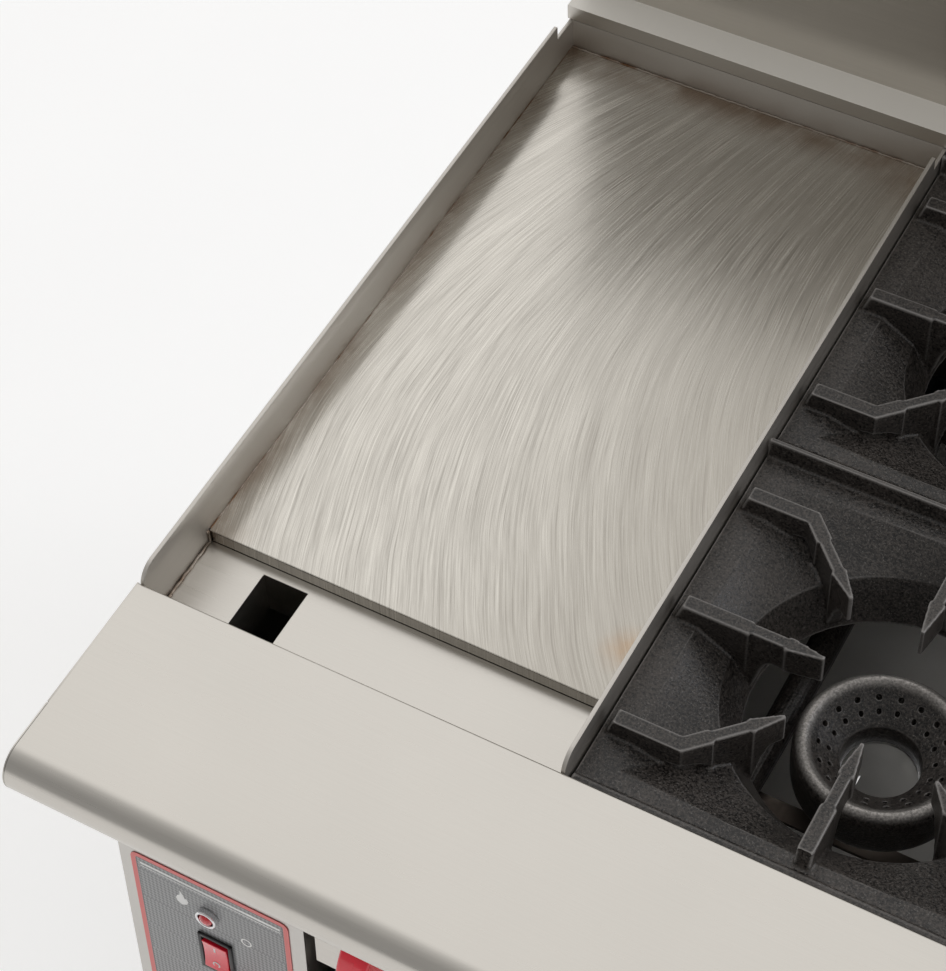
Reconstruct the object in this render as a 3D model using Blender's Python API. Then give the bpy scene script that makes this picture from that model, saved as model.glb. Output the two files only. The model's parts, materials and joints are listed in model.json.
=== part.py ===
"""Commercial gas range: a griddle, four open burners and a convection oven base.

Sizes are in millimetres here, and the helpers scale them to metres. +Z is up, +X is the
user's right and +Y is the back. The origin is on the floor, under the middle of the range.
Deck parts are children of an empty at the griddle plate's front left top corner, and the
fascia's parts are children of an empty that leans with the fascia.
"""

import math

import bmesh
import bpy
from mathutils import Matrix, Vector

MM = 0.001
GAP = 0.3  # clearance between neighbouring solids
SHEET = 1.5  # folded steel sheet

# Overall size.
HALF_WIDTH = 457.0
HALF_DEPTH = 432.0
TOTAL_HEIGHT = 1194.0
LEG_HEIGHT = 152.0

# The deck frame: griddle plate's front left top corner, in the range's frame.
DECK = Vector((-452.6, -203.0, 910.0))
DECK_LEFT = -HALF_WIDTH - DECK.x
DECK_RIGHT = HALF_WIDTH - DECK.x

# The fascia leans, with its bottom edge forward.
FASCIA_LEAN = math.radians(-3.8)
FASCIA_ORIGIN = Vector((DECK.x, DECK.y - 138.6, DECK.z))
PANEL_TOP = -12.0
COLUMN_RIGHT = 146.0
VALVE_PANEL_LEFT = 155.0
VALVE_PANEL_BOTTOM = -213.0
CONTROL_PANEL_BOTTOM = -420.0
COLUMN_FACE_Y = -369.5

# Landing ledge.
LEDGE_TOP = 28.0
LEDGE_REAR = -72.5
LEDGE_FRONT = -229.0
NOSE_RADIUS = 19.0
LEDGE_CAP_REAR = -176.0

# Griddle.
PLATE_WIDTH = 303.0
PLATE_DEPTH = 522.0
PLATE_THICKNESS = 19.0
SPLASH = 3.0
SPLASH_TOP = 38.0
SPLASH_REAR_TOP = 25.5
TROUGH_FLOOR = -11.0
CHUTE_X = (47.0, 81.0)
CHUTE_Y = (-60.0, -8.0)
CHUTE_BOTTOM = -50.0

# Open burners: the four grates' centres, and each grate's size.
GRATE_X = (457.3, 758.7)
GRATE_Y = (75.0, 368.5)
GRATE_WIDTH = 300.6
PAN_SEGMENTS = 32
PAN_ROWS = (
    (150.3, 146.0, 15.0, 1.0),
    (131.0, 127.0, 15.0, 0.9),
    (106.0, 106.0, -1.0, 0.0),
    (90.0, 90.0, -32.0, 0.0),
    (95.0, 95.0, -32.0, 0.0),
    (111.0, 111.0, -5.0, 0.0),
    (134.0, 130.0, 10.0, 0.9),
    (150.3, 146.0, 10.0, 1.0),
)
FINGER_TOP = 30.0
FINGER_UNDER = 5.0
FINGER_WIDTH = 10.0
STRAIGHT_TIP = 46.0
CORNER_TIP = 70.0
CORNER_BEND = 97.0
BURNER_RADIUS = 58.5
BURNER_HOLE = 26.0
VENTURI_OFFSET = 76.0
VENTURI_Z = -88.0
VENTURI_MOUTH_Y = -85.0
VENTURI_RADIUS = 12.0

# Controls on the fascia, in the fascia's frame.
KNOB_Z = -140.0
GRIDDLE_KNOB_X = 211.0
STEM_RADIUS = 3.0
INLET_XZ = (434.0, 770.0)  # in the range's frame
INLET_RADIUS = 13.3
LAMP_XZ = (67.0, -224.0)
ROCKER_XZ = (70.0, -273.0)
THERMOSTAT_XZ = (70.0, -350.0)

# Oven, in the range's frame.
DOOR_X = (-292.6, 452.4)
DOOR_Z = (225.0, 665.0)
DOOR_FRONT = -369.0
DOOR_BACK = -327.0
HINGE_Y = -333.5
HINGE_Z = 232.0
OVEN_X = (-250.6, 409.4)
OVEN_Y = (-318.0, 262.0)
OVEN_Z = (255.0, 600.0)
FLANGE_Y = -322.0
FAN_X = sum(OVEN_X) / 2
FAN_Z = sum(OVEN_Z) / 2


def clear_scene():
    for obj in list(bpy.data.objects):
        bpy.data.objects.remove(obj, do_unlink=True)


def finish(name, color, roughness, metallic):
    """A Principled material."""
    made = bpy.data.materials.new(name)
    made.use_nodes = True
    shader = made.node_tree.nodes["Principled BSDF"]
    shader.inputs["Base Color"].default_value = (*color, 1.0)
    shader.inputs["Roughness"].default_value = roughness
    shader.inputs["Metallic"].default_value = metallic
    return made


def empty(name, location, lean=0.0):
    made = bpy.data.objects.new(name, None)
    made.location = Vector(location) * MM
    made.rotation_euler = (lean, 0.0, 0.0)
    bpy.context.scene.collection.objects.link(made)
    return made


def solid(name, bm, material=None):
    """An object from a bmesh in millimetres."""
    bmesh.ops.recalc_face_normals(bm, faces=bm.faces)
    bmesh.ops.scale(bm, vec=(MM, MM, MM), verts=bm.verts)
    mesh = bpy.data.meshes.new(name)
    bm.to_mesh(mesh)
    bm.free()
    made = bpy.data.objects.new(name, mesh)
    bpy.context.scene.collection.objects.link(made)
    if material:
        mesh.materials.append(material)
    return made


def block(low, high, name="helper", material=None):
    """A rectangular solid between two corners."""
    bm = bmesh.new()
    size = Vector(high) - Vector(low)
    middle = (Vector(high) + Vector(low)) / 2
    place = Matrix.Translation(middle) @ Matrix.Diagonal((*size, 1.0))
    bmesh.ops.create_cube(bm, size=1.0, matrix=place)
    return solid(name, bm, material)


def prism(points, axis, low, high, name="helper", material=None):
    """An outline swept along an axis. The points hold the other two coordinates, in order."""
    def at(point, along):
        values = list(point)
        values.insert("XYZ".index(axis), along)
        return values

    bm = bmesh.new()
    face = bm.faces.new([bm.verts.new(at(point, low)) for point in points])
    swept = bmesh.ops.extrude_face_region(bm, geom=[face])
    moved = [item for item in swept["geom"] if isinstance(item, bmesh.types.BMVert)]
    bmesh.ops.translate(bm, vec=at((0, 0), high - low), verts=moved)
    return solid(name, bm, material)


def turned(profile, axis="Z", at=(0, 0, 0), segments=24, ring=False, name="helper", material=None):
    """A profile of (radius, height) points turned round an axis. A ring's profile closes on itself."""
    def place(radius, height, angle):
        across = [radius * math.cos(angle), radius * math.sin(angle)]
        across.insert("XYZ".index(axis), height)
        return Vector(across) + Vector(at)

    bm = bmesh.new()
    rows = []
    for radius, height in profile:
        count = segments if radius > 0 else 1
        rows.append([bm.verts.new(place(radius, height, math.tau * i / count)) for i in range(count)])
    pairs = list(zip(rows, rows[1:]))
    if ring:
        pairs.append((rows[-1], rows[0]))
    for lower, upper in pairs:
        for i in range(segments):
            corners = [lower[i % len(lower)], lower[(i + 1) % len(lower)]]
            corners += [upper[(i + 1) % len(upper)], upper[i % len(upper)]]
            bm.faces.new(list(dict.fromkeys(corners)))
    made = solid(name, bm, material)
    made.data.shade_smooth()
    made.data.set_sharp_from_angle(angle=math.radians(35))
    return made


def rod(radius, axis, at, low, high, segments=16, name="helper", material=None):
    """A round bar along an axis, from low to high on it."""
    profile = [(0, low), (radius, low), (radius, high), (0, high)]
    return turned(profile, axis, at, segments, name=name, material=material)


def tube(outer, inner, axis, at, low, high, segments=16, name="helper", material=None):
    profile = [(inner, low), (outer, low), (outer, high), (inner, high)]
    return turned(profile, axis, at, segments, ring=True, name=name, material=material)


def combine(obj, tools, operation):
    """Runs one Boolean for each tool, keeps the result on the object and removes the tool."""
    for tool in tools:
        modifier = obj.modifiers.new(operation, "BOOLEAN")
        modifier.operation = operation
        modifier.object = tool
        bpy.context.view_layer.update()
        graph = bpy.context.evaluated_depsgraph_get()
        mesh = bpy.data.meshes.new_from_object(obj.evaluated_get(graph))
        obj.modifiers.clear()
        obj.data = mesh
        bpy.data.objects.remove(tool, do_unlink=True)
    return obj


def fuse(obj, *tools):
    return combine(obj, tools, "UNION")


def cut(obj, *tools):
    return combine(obj, tools, "DIFFERENCE")


def pan(low, high, open_side, name, material, wall=SHEET):
    """A box of sheet with one open side, such as "-Y" or "+Z"."""
    axis = "XYZ".index(open_side[1])
    inner_low = [value + wall for value in low]
    inner_high = [value - wall for value in high]
    if open_side[0] == "-":
        inner_low[axis] = low[axis] - wall
    else:
        inner_high[axis] = high[axis] + wall
    return cut(block(low, high, name, material), block(inner_low, inner_high))


def arc(center, radius, start, end, steps):
    """Points along an arc, with angles in degrees."""
    turns = [math.radians(start + (end - start) * i / steps) for i in range(steps + 1)]
    return [(center[0] + radius * math.cos(t), center[1] + radius * math.sin(t)) for t in turns]


def folded(path, thickness):
    """The closed outline of a sheet whose right side, looking along the path, is the path."""
    points = [Vector(point) for point in path]
    inner = []
    for i, point in enumerate(points):
        first = max(i - 1, 0)
        ways = [(b - a).normalized() for a, b in zip(points[first:i + 1], points[first + 1:i + 2])]
        normals = [Vector((-way.y, way.x)) for way in ways]
        middle = sum(normals, Vector((0, 0))).normalized()
        inner.append(point + middle * thickness / max(middle.dot(normals[0]), 0.3))
    return [tuple(point) for point in points + inner[::-1]]


def round_rectangle(low, high, radius, steps=3):
    """A rectangle outline with round corners."""
    outline = []
    corners = [(high[0], high[1], 0), (low[0], high[1], 90), (low[0], low[1], 180), (high[0], low[1], 270)]
    for x, z, start in corners:
        center = (x - math.copysign(radius, x - low[0] - 1), z - math.copysign(radius, z - low[1] - 1))
        outline += arc(center, radius, start, start + 90, steps)
    return outline


def attach(parent, *children):
    for child in children:
        child.parent = parent


def build_legs(steel):
    """Four legs, each a flange plate, a tube and a tapered foot."""
    places = {
        "front_left": (-400, -265),
        "front_right": (400, -265),
        "rear_left": (-400, 370),
        "rear_right": (400, 370),
    }
    top = LEG_HEIGHT
    for where, (x, y) in places.items():
        profile = [(0, 0), (15, 0), (19, 8), (19, 30), (22, 34), (27, 128), (27, top - 4), (0, top - 4)]
        leg = turned(profile, at=(x, y, 0), segments=16, name="leg_" + where, material=steel)
        fuse(leg, block((x - 45, y - 45, top - 5), (x + 45, y + 45, top)))


def build_base(galvanised, steel):
    """The base frame of square tube with its bottom sheet, and the kick plate before it."""
    low = LEG_HEIGHT + GAP
    high = low + 38
    left = -HALF_WIDTH + 2
    base = block((left, -315, low), (-left, 425, high), "base_frame", galvanised)
    cut(base, block((left + 38, -277, low - 1), (-left - 38, 387, high - SHEET)))
    kick_left = DECK.x + VALVE_PANEL_LEFT
    kick = pan((kick_left, -323, low), (HALF_WIDTH, -316, 198), "+Y", "kick_plate", steel)


def build_side_panels(steel):
    """Side sheets whose front edges follow the returns of the fascia and the door frame."""
    lean = math.tan(-FASCIA_LEAN)

    def return_edge(z):
        return FASCIA_ORIGIN.y + 26.5 + (z - FASCIA_ORIGIN.z) * lean

    low = LEG_HEIGHT + GAP
    high = DECK.z - 14
    valve_low = DECK.z + VALVE_PANEL_BOTTOM
    column_low = DECK.z + CONTROL_PANEL_BOTTOM
    inset = COLUMN_FACE_Y + 26.5
    left_front = [(inset, low), (inset, column_low), (return_edge(column_low), column_low)]
    right_front = [(-315, low), (-315, 201), (FLANGE_Y, 201)]
    right_front += [(FLANGE_Y, valve_low), (return_edge(valve_low), valve_low)]
    fronts = {
        "left_side_panel": (-HALF_WIDTH, left_front),
        "right_side_panel": (HALF_WIDTH - 1.2, right_front),
    }
    for name, (x, front) in fronts.items():
        outline = front + [(return_edge(high), high), (426, high), (426, low)]
        prism(outline, "X", x, x + 1.2, name, steel)


def build_back_panel(galvanised, dark):
    """The rear sheet, with a hole for the gas inlet, louvres for the fan motor and the power gland."""
    edge = HALF_WIDTH - 1.5
    panel = block((-edge, 427, LEG_HEIGHT + GAP), (edge, 428.5, 892), "back_panel", galvanised)
    cut(panel, rod(18, "Y", (434, 0, 770), 420, 440))
    for row in range(6):
        z = 380 + 18 * row
        cut(panel, block((FAN_X - 60, 420, z), (FAN_X + 60, 440, z + 6)))
    gland_at = (300, 0, 300)
    cut(panel, rod(9.5, "Y", gland_at, 420, 440, 12))
    gland = [(5, 414), (9, 414), (9, 428.8), (14, 428.8), (14, 430.5), (11, 431.7), (5, 431.7)]
    turned(gland, "Y", gland_at, 12, ring=True, name="power_gland", material=dark)


def build_back_guard(steel):
    """The hollow flue riser behind the deck, with a lip over the griddle splash."""
    lip_front = DECK.y + 524
    panel_front = DECK.y + 551
    lip_low = DECK.z + 26
    lip_top = DECK.z + 39
    rear = HALF_DEPTH
    low = DECK.z - 13
    outside = [(lip_front, lip_low), (lip_front, lip_top), (panel_front, lip_top)]
    outside += [(panel_front, TOTAL_HEIGHT), (rear, TOTAL_HEIGHT)]
    outside += [(rear, low), (panel_front, low), (panel_front, lip_low)]
    guard = prism(outside, "X", -HALF_WIDTH, HALF_WIDTH, "back_guard", steel)
    hollow_low = (-HALF_WIDTH + SHEET, panel_front + SHEET, low - 1)
    cut(guard, block(hollow_low, (HALF_WIDTH - SHEET, rear - SHEET, TOTAL_HEIGHT - SHEET)))
    lip_hollow = block((-HALF_WIDTH + SHEET, lip_front + SHEET, lip_low - 1),
                       (HALF_WIDTH - SHEET, panel_front + 0.5, lip_top - SHEET))
    cut(guard, lip_hollow)
    for x in (-330, -110, 110):
        cut(guard, block((x, panel_front + 30, TOTAL_HEIGHT - 5), (x + 200, rear - 24, TOTAL_HEIGHT + 5)))


def build_ledge(deck, steel):
    """The landing ledge, a folded sheet with a half round nose, and its two end caps."""
    nose_y = LEDGE_FRONT + NOSE_RADIUS
    nose_z = LEDGE_TOP - NOSE_RADIUS
    nose = arc((nose_y, nose_z), NOSE_RADIUS, 90, 270, 12)
    path = [(LEDGE_REAR, LEDGE_TOP - 10), (LEDGE_REAR, LEDGE_TOP)]
    path += nose + [(-141, LEDGE_TOP - 2 * NOSE_RADIUS)]
    inset = 1.5
    ledge = prism(folded(path, SHEET), "X", DECK_LEFT + inset, DECK_RIGHT - inset, "front_ledge", steel)
    for x in (DECK_LEFT, DECK_RIGHT - inset - 0.2):
        fuse(ledge, block((x, LEDGE_CAP_REAR + GAP, 12), (x + inset + 0.2, LEDGE_REAR, LEDGE_TOP)))
    outline = [(LEDGE_CAP_REAR, LEDGE_TOP)] + nose + [(LEDGE_CAP_REAR, LEDGE_TOP - 2 * NOSE_RADIUS)]
    thickness = inset - GAP
    left = prism(outline, "X", DECK_LEFT, DECK_LEFT + thickness, "ledge_cap_left", steel)
    right = prism(outline, "X", DECK_RIGHT - thickness, DECK_RIGHT, "ledge_cap_right", steel)
    attach(deck, ledge, left, right)


def build_griddle(deck, polished, steel, iron):
    """The plate, its splash, the grease trough with its chute, the drawer and the burner."""
    plate = block((GAP, 0, -PLATE_THICKNESS), (PLATE_WIDTH - GAP, PLATE_DEPTH, 0), "griddle_plate", polished)
    inner = (0.0, LEDGE_REAR + GAP, PLATE_WIDTH, PLATE_DEPTH + 2)
    outline = [(inner[0], inner[1]), (inner[0], inner[3]), (inner[2], inner[3]), (inner[2], inner[1]),
               (inner[2] + SPLASH, inner[1]), (inner[2] + SPLASH, inner[3] + SPLASH),
               (-SPLASH, inner[3] + SPLASH), (-SPLASH, inner[1])]
    splash = prism(outline, "Z", -45, SPLASH_TOP, "griddle_splash", steel)
    cut(splash, block((-10, 500, SPLASH_REAR_TOP), (PLATE_WIDTH + 10, 540, SPLASH_TOP + 10)))
    round_off = 15.0
    corner = [(inner[1] - 1, SPLASH_TOP + 1), (inner[1] - 1, SPLASH_TOP - round_off)]
    corner += arc((inner[1] + round_off, SPLASH_TOP - round_off), round_off, 180, 90, 4)
    corner += [(inner[1] + round_off, SPLASH_TOP + 1)]
    cut(splash, prism(corner, "X", -10, PLATE_WIDTH + 10))

    floor_high = (PLATE_WIDTH - GAP, -GAP, TROUGH_FLOOR)
    trough = block((GAP, -95, TROUGH_FLOOR - 2), floor_high, "grease_trough", steel)
    fuse(trough, block((GAP, -95, TROUGH_FLOOR - 2), (PLATE_WIDTH - GAP, -93, LEDGE_TOP - 6)))
    (left, right), (front, rear) = CHUTE_X, CHUTE_Y
    fuse(trough, block((left - 2, front - 2, CHUTE_BOTTOM), (right + 2, rear + 2, TROUGH_FLOOR - 1)))
    cut(trough, block((left, front, CHUTE_BOTTOM - 1), (right, rear, TROUGH_FLOOR + 1)))

    drawer = pan((20, -134, -150), (130, 70, -56), "+Z", "grease_drawer", steel)
    fuse(drawer, leaning(block((11, -2.2, -166), (139, -GAP - 0.2, -46))))
    fuse(drawer, leaning(block((30, -2, -140), (120, 8, -70))), block((30, -144, -140), (120, -133, -70)))
    for low, high in (((50, -18, -60), (100, -1, -57)), ((50, -18, -66), (100, -16, -57))):
        fuse(drawer, leaning(block(low, high)))

    x = GRIDDLE_KNOB_X
    burner = rod(15, "Y", (x, 0, -72), -60, 470, 12, "griddle_burner", iron)
    fuse(burner, rod(15, "Y", (90, 0, -72), 110, 470, 12), block((92, 110, -82), (x - 2, 130, -62)))
    cut(burner, rod(11, "Y", (x, 0, -72), -61, 100, 12))
    attach(deck, plate, splash, trough, drawer, burner)


def leaning(obj):
    """Turns a deck piece so that its own frame is the fascia's."""
    to_fascia = (FASCIA_ORIGIN - DECK) * MM
    obj.matrix_world = Matrix.Translation(to_fascia) @ Matrix.Rotation(FASCIA_LEAN, 4, "X")
    return obj


def pan_row(half_x, half_y, z, squareness):
    """A loop of points round the grate's centre: a circle at squareness 0, a rectangle at 1."""
    row = []
    for i in range(PAN_SEGMENTS):
        x, y = math.cos(math.tau * i / PAN_SEGMENTS), math.sin(math.tau * i / PAN_SEGMENTS)
        reach = 1 + (1 / max(abs(x), abs(y)) - 1) * squareness
        row.append((half_x * x * reach, half_y * y * reach, z))
    return row


def grate_pan(name, material):
    """A flat border, a sunken dish and a conical bowl, open at the bottom."""
    bm = bmesh.new()
    rows = [[bm.verts.new(point) for point in pan_row(*row)] for row in PAN_ROWS]
    for lower, upper in zip(rows, rows[1:] + rows[:1]):
        for i in range(PAN_SEGMENTS):
            j = (i + 1) % PAN_SEGMENTS
            bm.faces.new([lower[i], lower[j], upper[j], upper[i]])
    return solid(name, bm, material)


def straight_finger(length):
    """A grate finger along +X: a flat top, a root that follows the pan and a gusset on the bowl."""
    half = FINGER_WIDTH / 2
    root = [(length - 5, FINGER_TOP), (length, 12.5), (length - 14.5, 12.5), (108.5, -3)]
    foot = [(92.8, -30), (84, 0), (80, FINGER_UNDER), (STRAIGHT_TIP, FINGER_UNDER)]
    return prism(root + foot + [(STRAIGHT_TIP, FINGER_TOP)], "Y", -half, half)


def corner_finger():
    """A grate finger that runs along X from the side, then turns to the centre."""
    half = FINGER_WIDTH / 2
    near, far = CORNER_BEND - half, CORNER_BEND + half
    side = GRATE_WIDTH / 2 - 4.3
    lean = half * math.sqrt(2)
    turn = half * (math.sqrt(2) - 1)
    tip = CORNER_TIP / math.sqrt(2)
    plan = [(side, near), (side, far), (CORNER_BEND - turn, far), (tip - lean / 2, tip + lean / 2)]
    plan += [(tip + lean / 2, tip - lean / 2), (CORNER_BEND + turn, near)]
    bar = prism(plan, "Z", -40, FINGER_TOP)
    under = [(60, -41), (60, FINGER_UNDER), (84, FINGER_UNDER - 1), (86, 0), (92.8, -30)]
    under += [(108.5, -3), (175, 12), (230, 12), (230, -41)]
    cutter = prism(under, "Y", -60, 60)
    cutter.matrix_world = Matrix.Rotation(math.radians(45), 4, "Z")
    return cut(bar, cutter)


def placed(obj, degrees, mirrored):
    """Turns a finger about the grate's centre, or mirrors it across the X axis first."""
    flip = Matrix.Scale(-1, 4, (0, 1, 0)) if mirrored else Matrix.Identity(4)
    obj.data.transform(Matrix.Rotation(math.radians(degrees), 4, "Z") @ flip)
    if mirrored:
        obj.data.flip_normals()
    return obj


def build_grates(deck, iron):
    """Four cast grates, each a pan with a thin rear rib and eight fingers."""
    first = grate_pan("grate_front_left", iron)
    half = GRATE_WIDTH / 2
    fuse(first, block((-half, 141, 12), (half, 145.7, FINGER_TOP)))
    for quarter, length in enumerate((147.0, 143.5, 147.0, 134.0)):
        fuse(first, placed(straight_finger(length), 90 * quarter, False))
    for degrees in (0, 180):
        for mirrored in (False, True):
            fuse(first, placed(corner_finger(), degrees, mirrored))
    grates = [first]
    for name in ("grate_front_right", "grate_rear_left", "grate_rear_right"):
        grates.append(bpy.data.objects.new(name, first.data))
        bpy.context.scene.collection.objects.link(grates[-1])
    places = [(x, y) for y in GRATE_Y for x in GRATE_X]
    for grate, (x, y) in zip(grates, places):
        grate.location = (x * MM, y * MM, 0)
    attach(deck, *grates)


def build_burners(deck, iron):
    """Four ring burners, each with a side arm and a venturi tube that runs to its valve."""
    hole, outer = BURNER_HOLE, BURNER_RADIUS
    ring = [(hole, -57), (46, -40), (50, -36), (54, -38), (outer, -44)]
    ring += [(outer, -73), (50, -80), (hole, -75)]
    sides = {"front_left": 1, "front_right": 1, "rear_left": -1, "rear_right": -1}
    places = [(x, y) for y in GRATE_Y for x in GRATE_X]
    for (where, side), (x, y) in zip(sides.items(), places):
        burner = turned(ring, at=(x, y, 0), segments=20, ring=True, name="burner_" + where, material=iron)
        tube_x = x + side * VENTURI_OFFSET
        arm = sorted((x + side * 44, tube_x))
        fuse(burner, block((arm[0], y - 10, -90), (arm[1], y + 10, -70)))
        fuse(burner, rod(VENTURI_RADIUS, "Y", (tube_x, 0, VENTURI_Z), VENTURI_MOUTH_Y, y + 12, 12))
        cut(burner, rod(VENTURI_RADIUS - 3, "Y", (tube_x, 0, VENTURI_Z), VENTURI_MOUTH_Y - 1, y - 14, 12))
        attach(deck, burner)


def build_burner_box(deck, steel, tray_steel):
    """The open box that carries the grates and burners, and the crumb tray that slides under it."""
    left, right = 307.0, DECK_RIGHT - 0.6
    front, rear = -71.5, 515.5
    wall_right = 903.0
    top, bottom = PAN_ROWS[-1][2] - GAP, -206.0
    wall = 3.0
    box = block((left, front, bottom), (right, rear, top), "burner_box", steel)
    cut(box, block((left + wall, front + wall, bottom - 1), (wall_right - wall, rear - wall, top + 1)))
    cut(box, block((wall_right, front - 1, bottom - 1), (right + 1, rear + 1, top - wall)))
    cut(box, block((left + wall, front - 1, bottom - 1), (wall_right - wall, front + wall + 1, -62)))
    pipe = (INLET_XZ[0] - DECK.x, 0, INLET_XZ[1] - DECK.z)
    cut(box, rod(INLET_RADIUS + 1.5, "Y", pipe, rear - 10, rear + 10))
    middle_x = sum(GRATE_X) / 2
    middle_y = sum(GRATE_Y) / 2
    fuse(box, block((left + 1, middle_y - 7, -26), (wall_right - 1, middle_y + 7, top)))
    fuse(box, block((middle_x - 7, front + 1, -26), (middle_x + 7, rear - 1, top)))
    for y in (30, 320):
        fuse(box, block((left + 1, y, -104), (wall_right - 1, y + 14, -101)))
    tray_left = VALVE_PANEL_LEFT + 6
    tray = pan((tray_left, -140, -238), (862, 500, -217), "+Z", "crumb_tray", tray_steel, wall=1.2)
    fuse(tray, block((tray_left, -142, -239.5), (902, -139, -214.5)))
    fuse(tray, block((430, -150, -236), (630, -141, -233.5)))
    attach(deck, box, tray)


def knob(name, material, x, z, radius, grip_half, grip_width, reach):
    """A control knob: a round skirt, a grip bar with a crowned front and a bore for the stem."""
    profile = [(0, -1.0), (radius, -1.0), (radius, -6.0), (radius - 5, -12.0), (0, -12.0)]
    made = turned(profile, "Y", (0, 0, 0), 24, name=name, material=material)
    crown_radius = (grip_half ** 2 + 11 ** 2) / 22
    half_angle = math.degrees(math.asin(grip_half / crown_radius))
    crown = arc((-reach + crown_radius, 0), crown_radius, 180 - half_angle, 180 + half_angle, 6)
    outline = [(-8, grip_half - 3)] + crown + [(-8, -grip_half + 3)]
    fuse(made, prism(outline, "X", -grip_width / 2, grip_width / 2))
    cut(made, rod(STEM_RADIUS + 0.8, "Y", (0, 0, 0), -20, 0, 12))
    made.location = (x * MM, 0, z * MM)
    return made


def valve_positions():
    """X of the five knobs along the valve panel: the griddle's, then one over each burner tube."""
    burner_x = sorted(x + side * VENTURI_OFFSET for x in GRATE_X for side in (-1, 1))
    return [GRIDDLE_KNOB_X] + burner_x


def build_gas_train(fascia, brass, galvanised):
    """One valve behind each knob, the manifold pipe that feeds them and the rear inlet pipe."""
    manifold_y = 62.0
    names = ["griddle_valve"] + [f"burner_valve_{i}" for i in range(1, 5)]
    for name, x in zip(names, valve_positions()):
        valve = rod(11, "Y", (x, 0, KNOB_Z), 6, manifold_y - 15, 8, name, brass)
        fuse(valve, rod(STEM_RADIUS, "Y", (x, 0, KNOB_Z), -16, 7, 8))
        fuse(valve, block((x - 6, 20, KNOB_Z + 4), (x + 6, 32, VENTURI_Z + 4)))
        fuse(valve, rod(5, "Y", (x, 0, VENTURI_Z - 1), 30, 46, 8))
        attach(fascia, valve)
    low, high = 175.0, 871.0
    manifold = rod(13.3, "X", (0, manifold_y, KNOB_Z), low, high, 12, "gas_manifold", galvanised)
    fuse(manifold, rod(13.3, "Z", (high - 14, manifold_y, 0), KNOB_Z - 6, KNOB_Z + 22, 12))
    attach(fascia, manifold)

    inlet_x, inlet_z = INLET_XZ
    ends = (-250, HALF_DEPTH - GAP)
    inlet = tube(INLET_RADIUS, 10.0, "Y", (inlet_x, 0, inlet_z), *ends, 16, "gas_inlet_pipe", galvanised)
    regulator = turned([(0, 6), (30, 2), (30, -10), (0, -32)], "X", (inlet_x, 380, inlet_z), 16)
    fuse(inlet, cut(regulator, rod(11, "Y", (inlet_x, 0, inlet_z), 300, 420, 16)))


def build_fascia(fascia, steel, label, chrome, lens, dark, red):
    """The control column and valve panel, with the label, lamp, rocker switch and knobs."""
    depth = 25.0
    column_high = (COLUMN_RIGHT, depth, PANEL_TOP)
    column = pan((DECK_LEFT, 0, CONTROL_PANEL_BOTTOM), column_high, "+Y", "control_panel", steel)
    cut(column, block((17, -5, -154), (133, 30, -53)))
    lamp_x, lamp_z = LAMP_XZ
    rocker_x, rocker_z = ROCKER_XZ
    dial_x, dial_z = THERMOSTAT_XZ
    rocker_half = (12.6, 20.6)
    lower = (rocker_x - rocker_half[0], -5, rocker_z - rocker_half[1])
    upper = (rocker_x + rocker_half[0], 5, rocker_z + rocker_half[1])
    cut(column, rod(7, "Y", (lamp_x, 0, lamp_z), -5, 5), block(lower, upper))
    cut(column, rod(5, "Y", (dial_x, 0, dial_z), -5, 5))

    outline = round_rectangle((5.6, -404), (133.9, -186), 6)
    overlay = prism(outline, "Y", -0.7, -GAP, "control_label", label)
    cut(overlay, rod(7, "Y", (lamp_x, 0, lamp_z), -5, 5), block(lower, upper))
    cut(overlay, rod(5, "Y", (dial_x, 0, dial_z), -5, 5))

    panel_high = (DECK_RIGHT, depth, PANEL_TOP)
    valve_panel = pan((VALVE_PANEL_LEFT, 0, VALVE_PANEL_BOTTOM), panel_high, "+Y", "valve_panel", steel)
    cut(valve_panel, *[rod(5, "Y", (x, 0, KNOB_Z), -5, 5) for x in valve_positions()])

    bezel = [(6.3, -1.0), (8.5, -1.0), (8.5, -8.0), (7.6, -9.5), (6.3, -9.0)]
    bezel = turned(bezel, "Y", (lamp_x, 0, lamp_z), 20, ring=True, name="indicator_bezel", material=chrome)
    dome = [(0, 12), (5.4, 12), (5.4, -7.0), (4.0, -9.6), (0, -10.8)]
    dome = turned(dome, "Y", (lamp_x, 0, lamp_z), 16, name="indicator_lens", material=lens)

    frame_high = (rocker_x + 12.2, 18, rocker_z + 20.2)
    frame = pan((rocker_x - 12.2, -3, rocker_z - 20.2), frame_high, "-Y", "rocker_bezel", dark)
    fuse(frame, cut(block((rocker_x - 14, -3, rocker_z - 22), (rocker_x + 14, -1.0, rocker_z + 22)),
                    block((rocker_x - 11, -9, rocker_z - 19), (rocker_x + 11, 9, rocker_z + 19))))
    seesaw = [(-4.5, 16.6), (-3.2, 0), (-4.5, -16.6), (4, -14.5), (7, 0), (4, 14.5)]
    seesaw = prism(seesaw, "X", -10.0, 10.0, "rocker_button", red)
    seesaw.location = (rocker_x * MM, 0, rocker_z * MM)

    dial = knob("thermostat_knob", red, dial_x, dial_z, 25, 22, 12, 28)
    griddle_x, *burner_x = valve_positions()
    knobs = [knob("griddle_knob", red, griddle_x, KNOB_Z, 31, 31, 22, 46)]
    knobs += [knob(f"burner_knob_{i}", red, x, KNOB_Z, 31, 31, 22, 46) for i, x in enumerate(burner_x, 1)]
    attach(fascia, column, overlay, valve_panel, bezel, dome, frame, seesaw, dial, *knobs)


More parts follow.
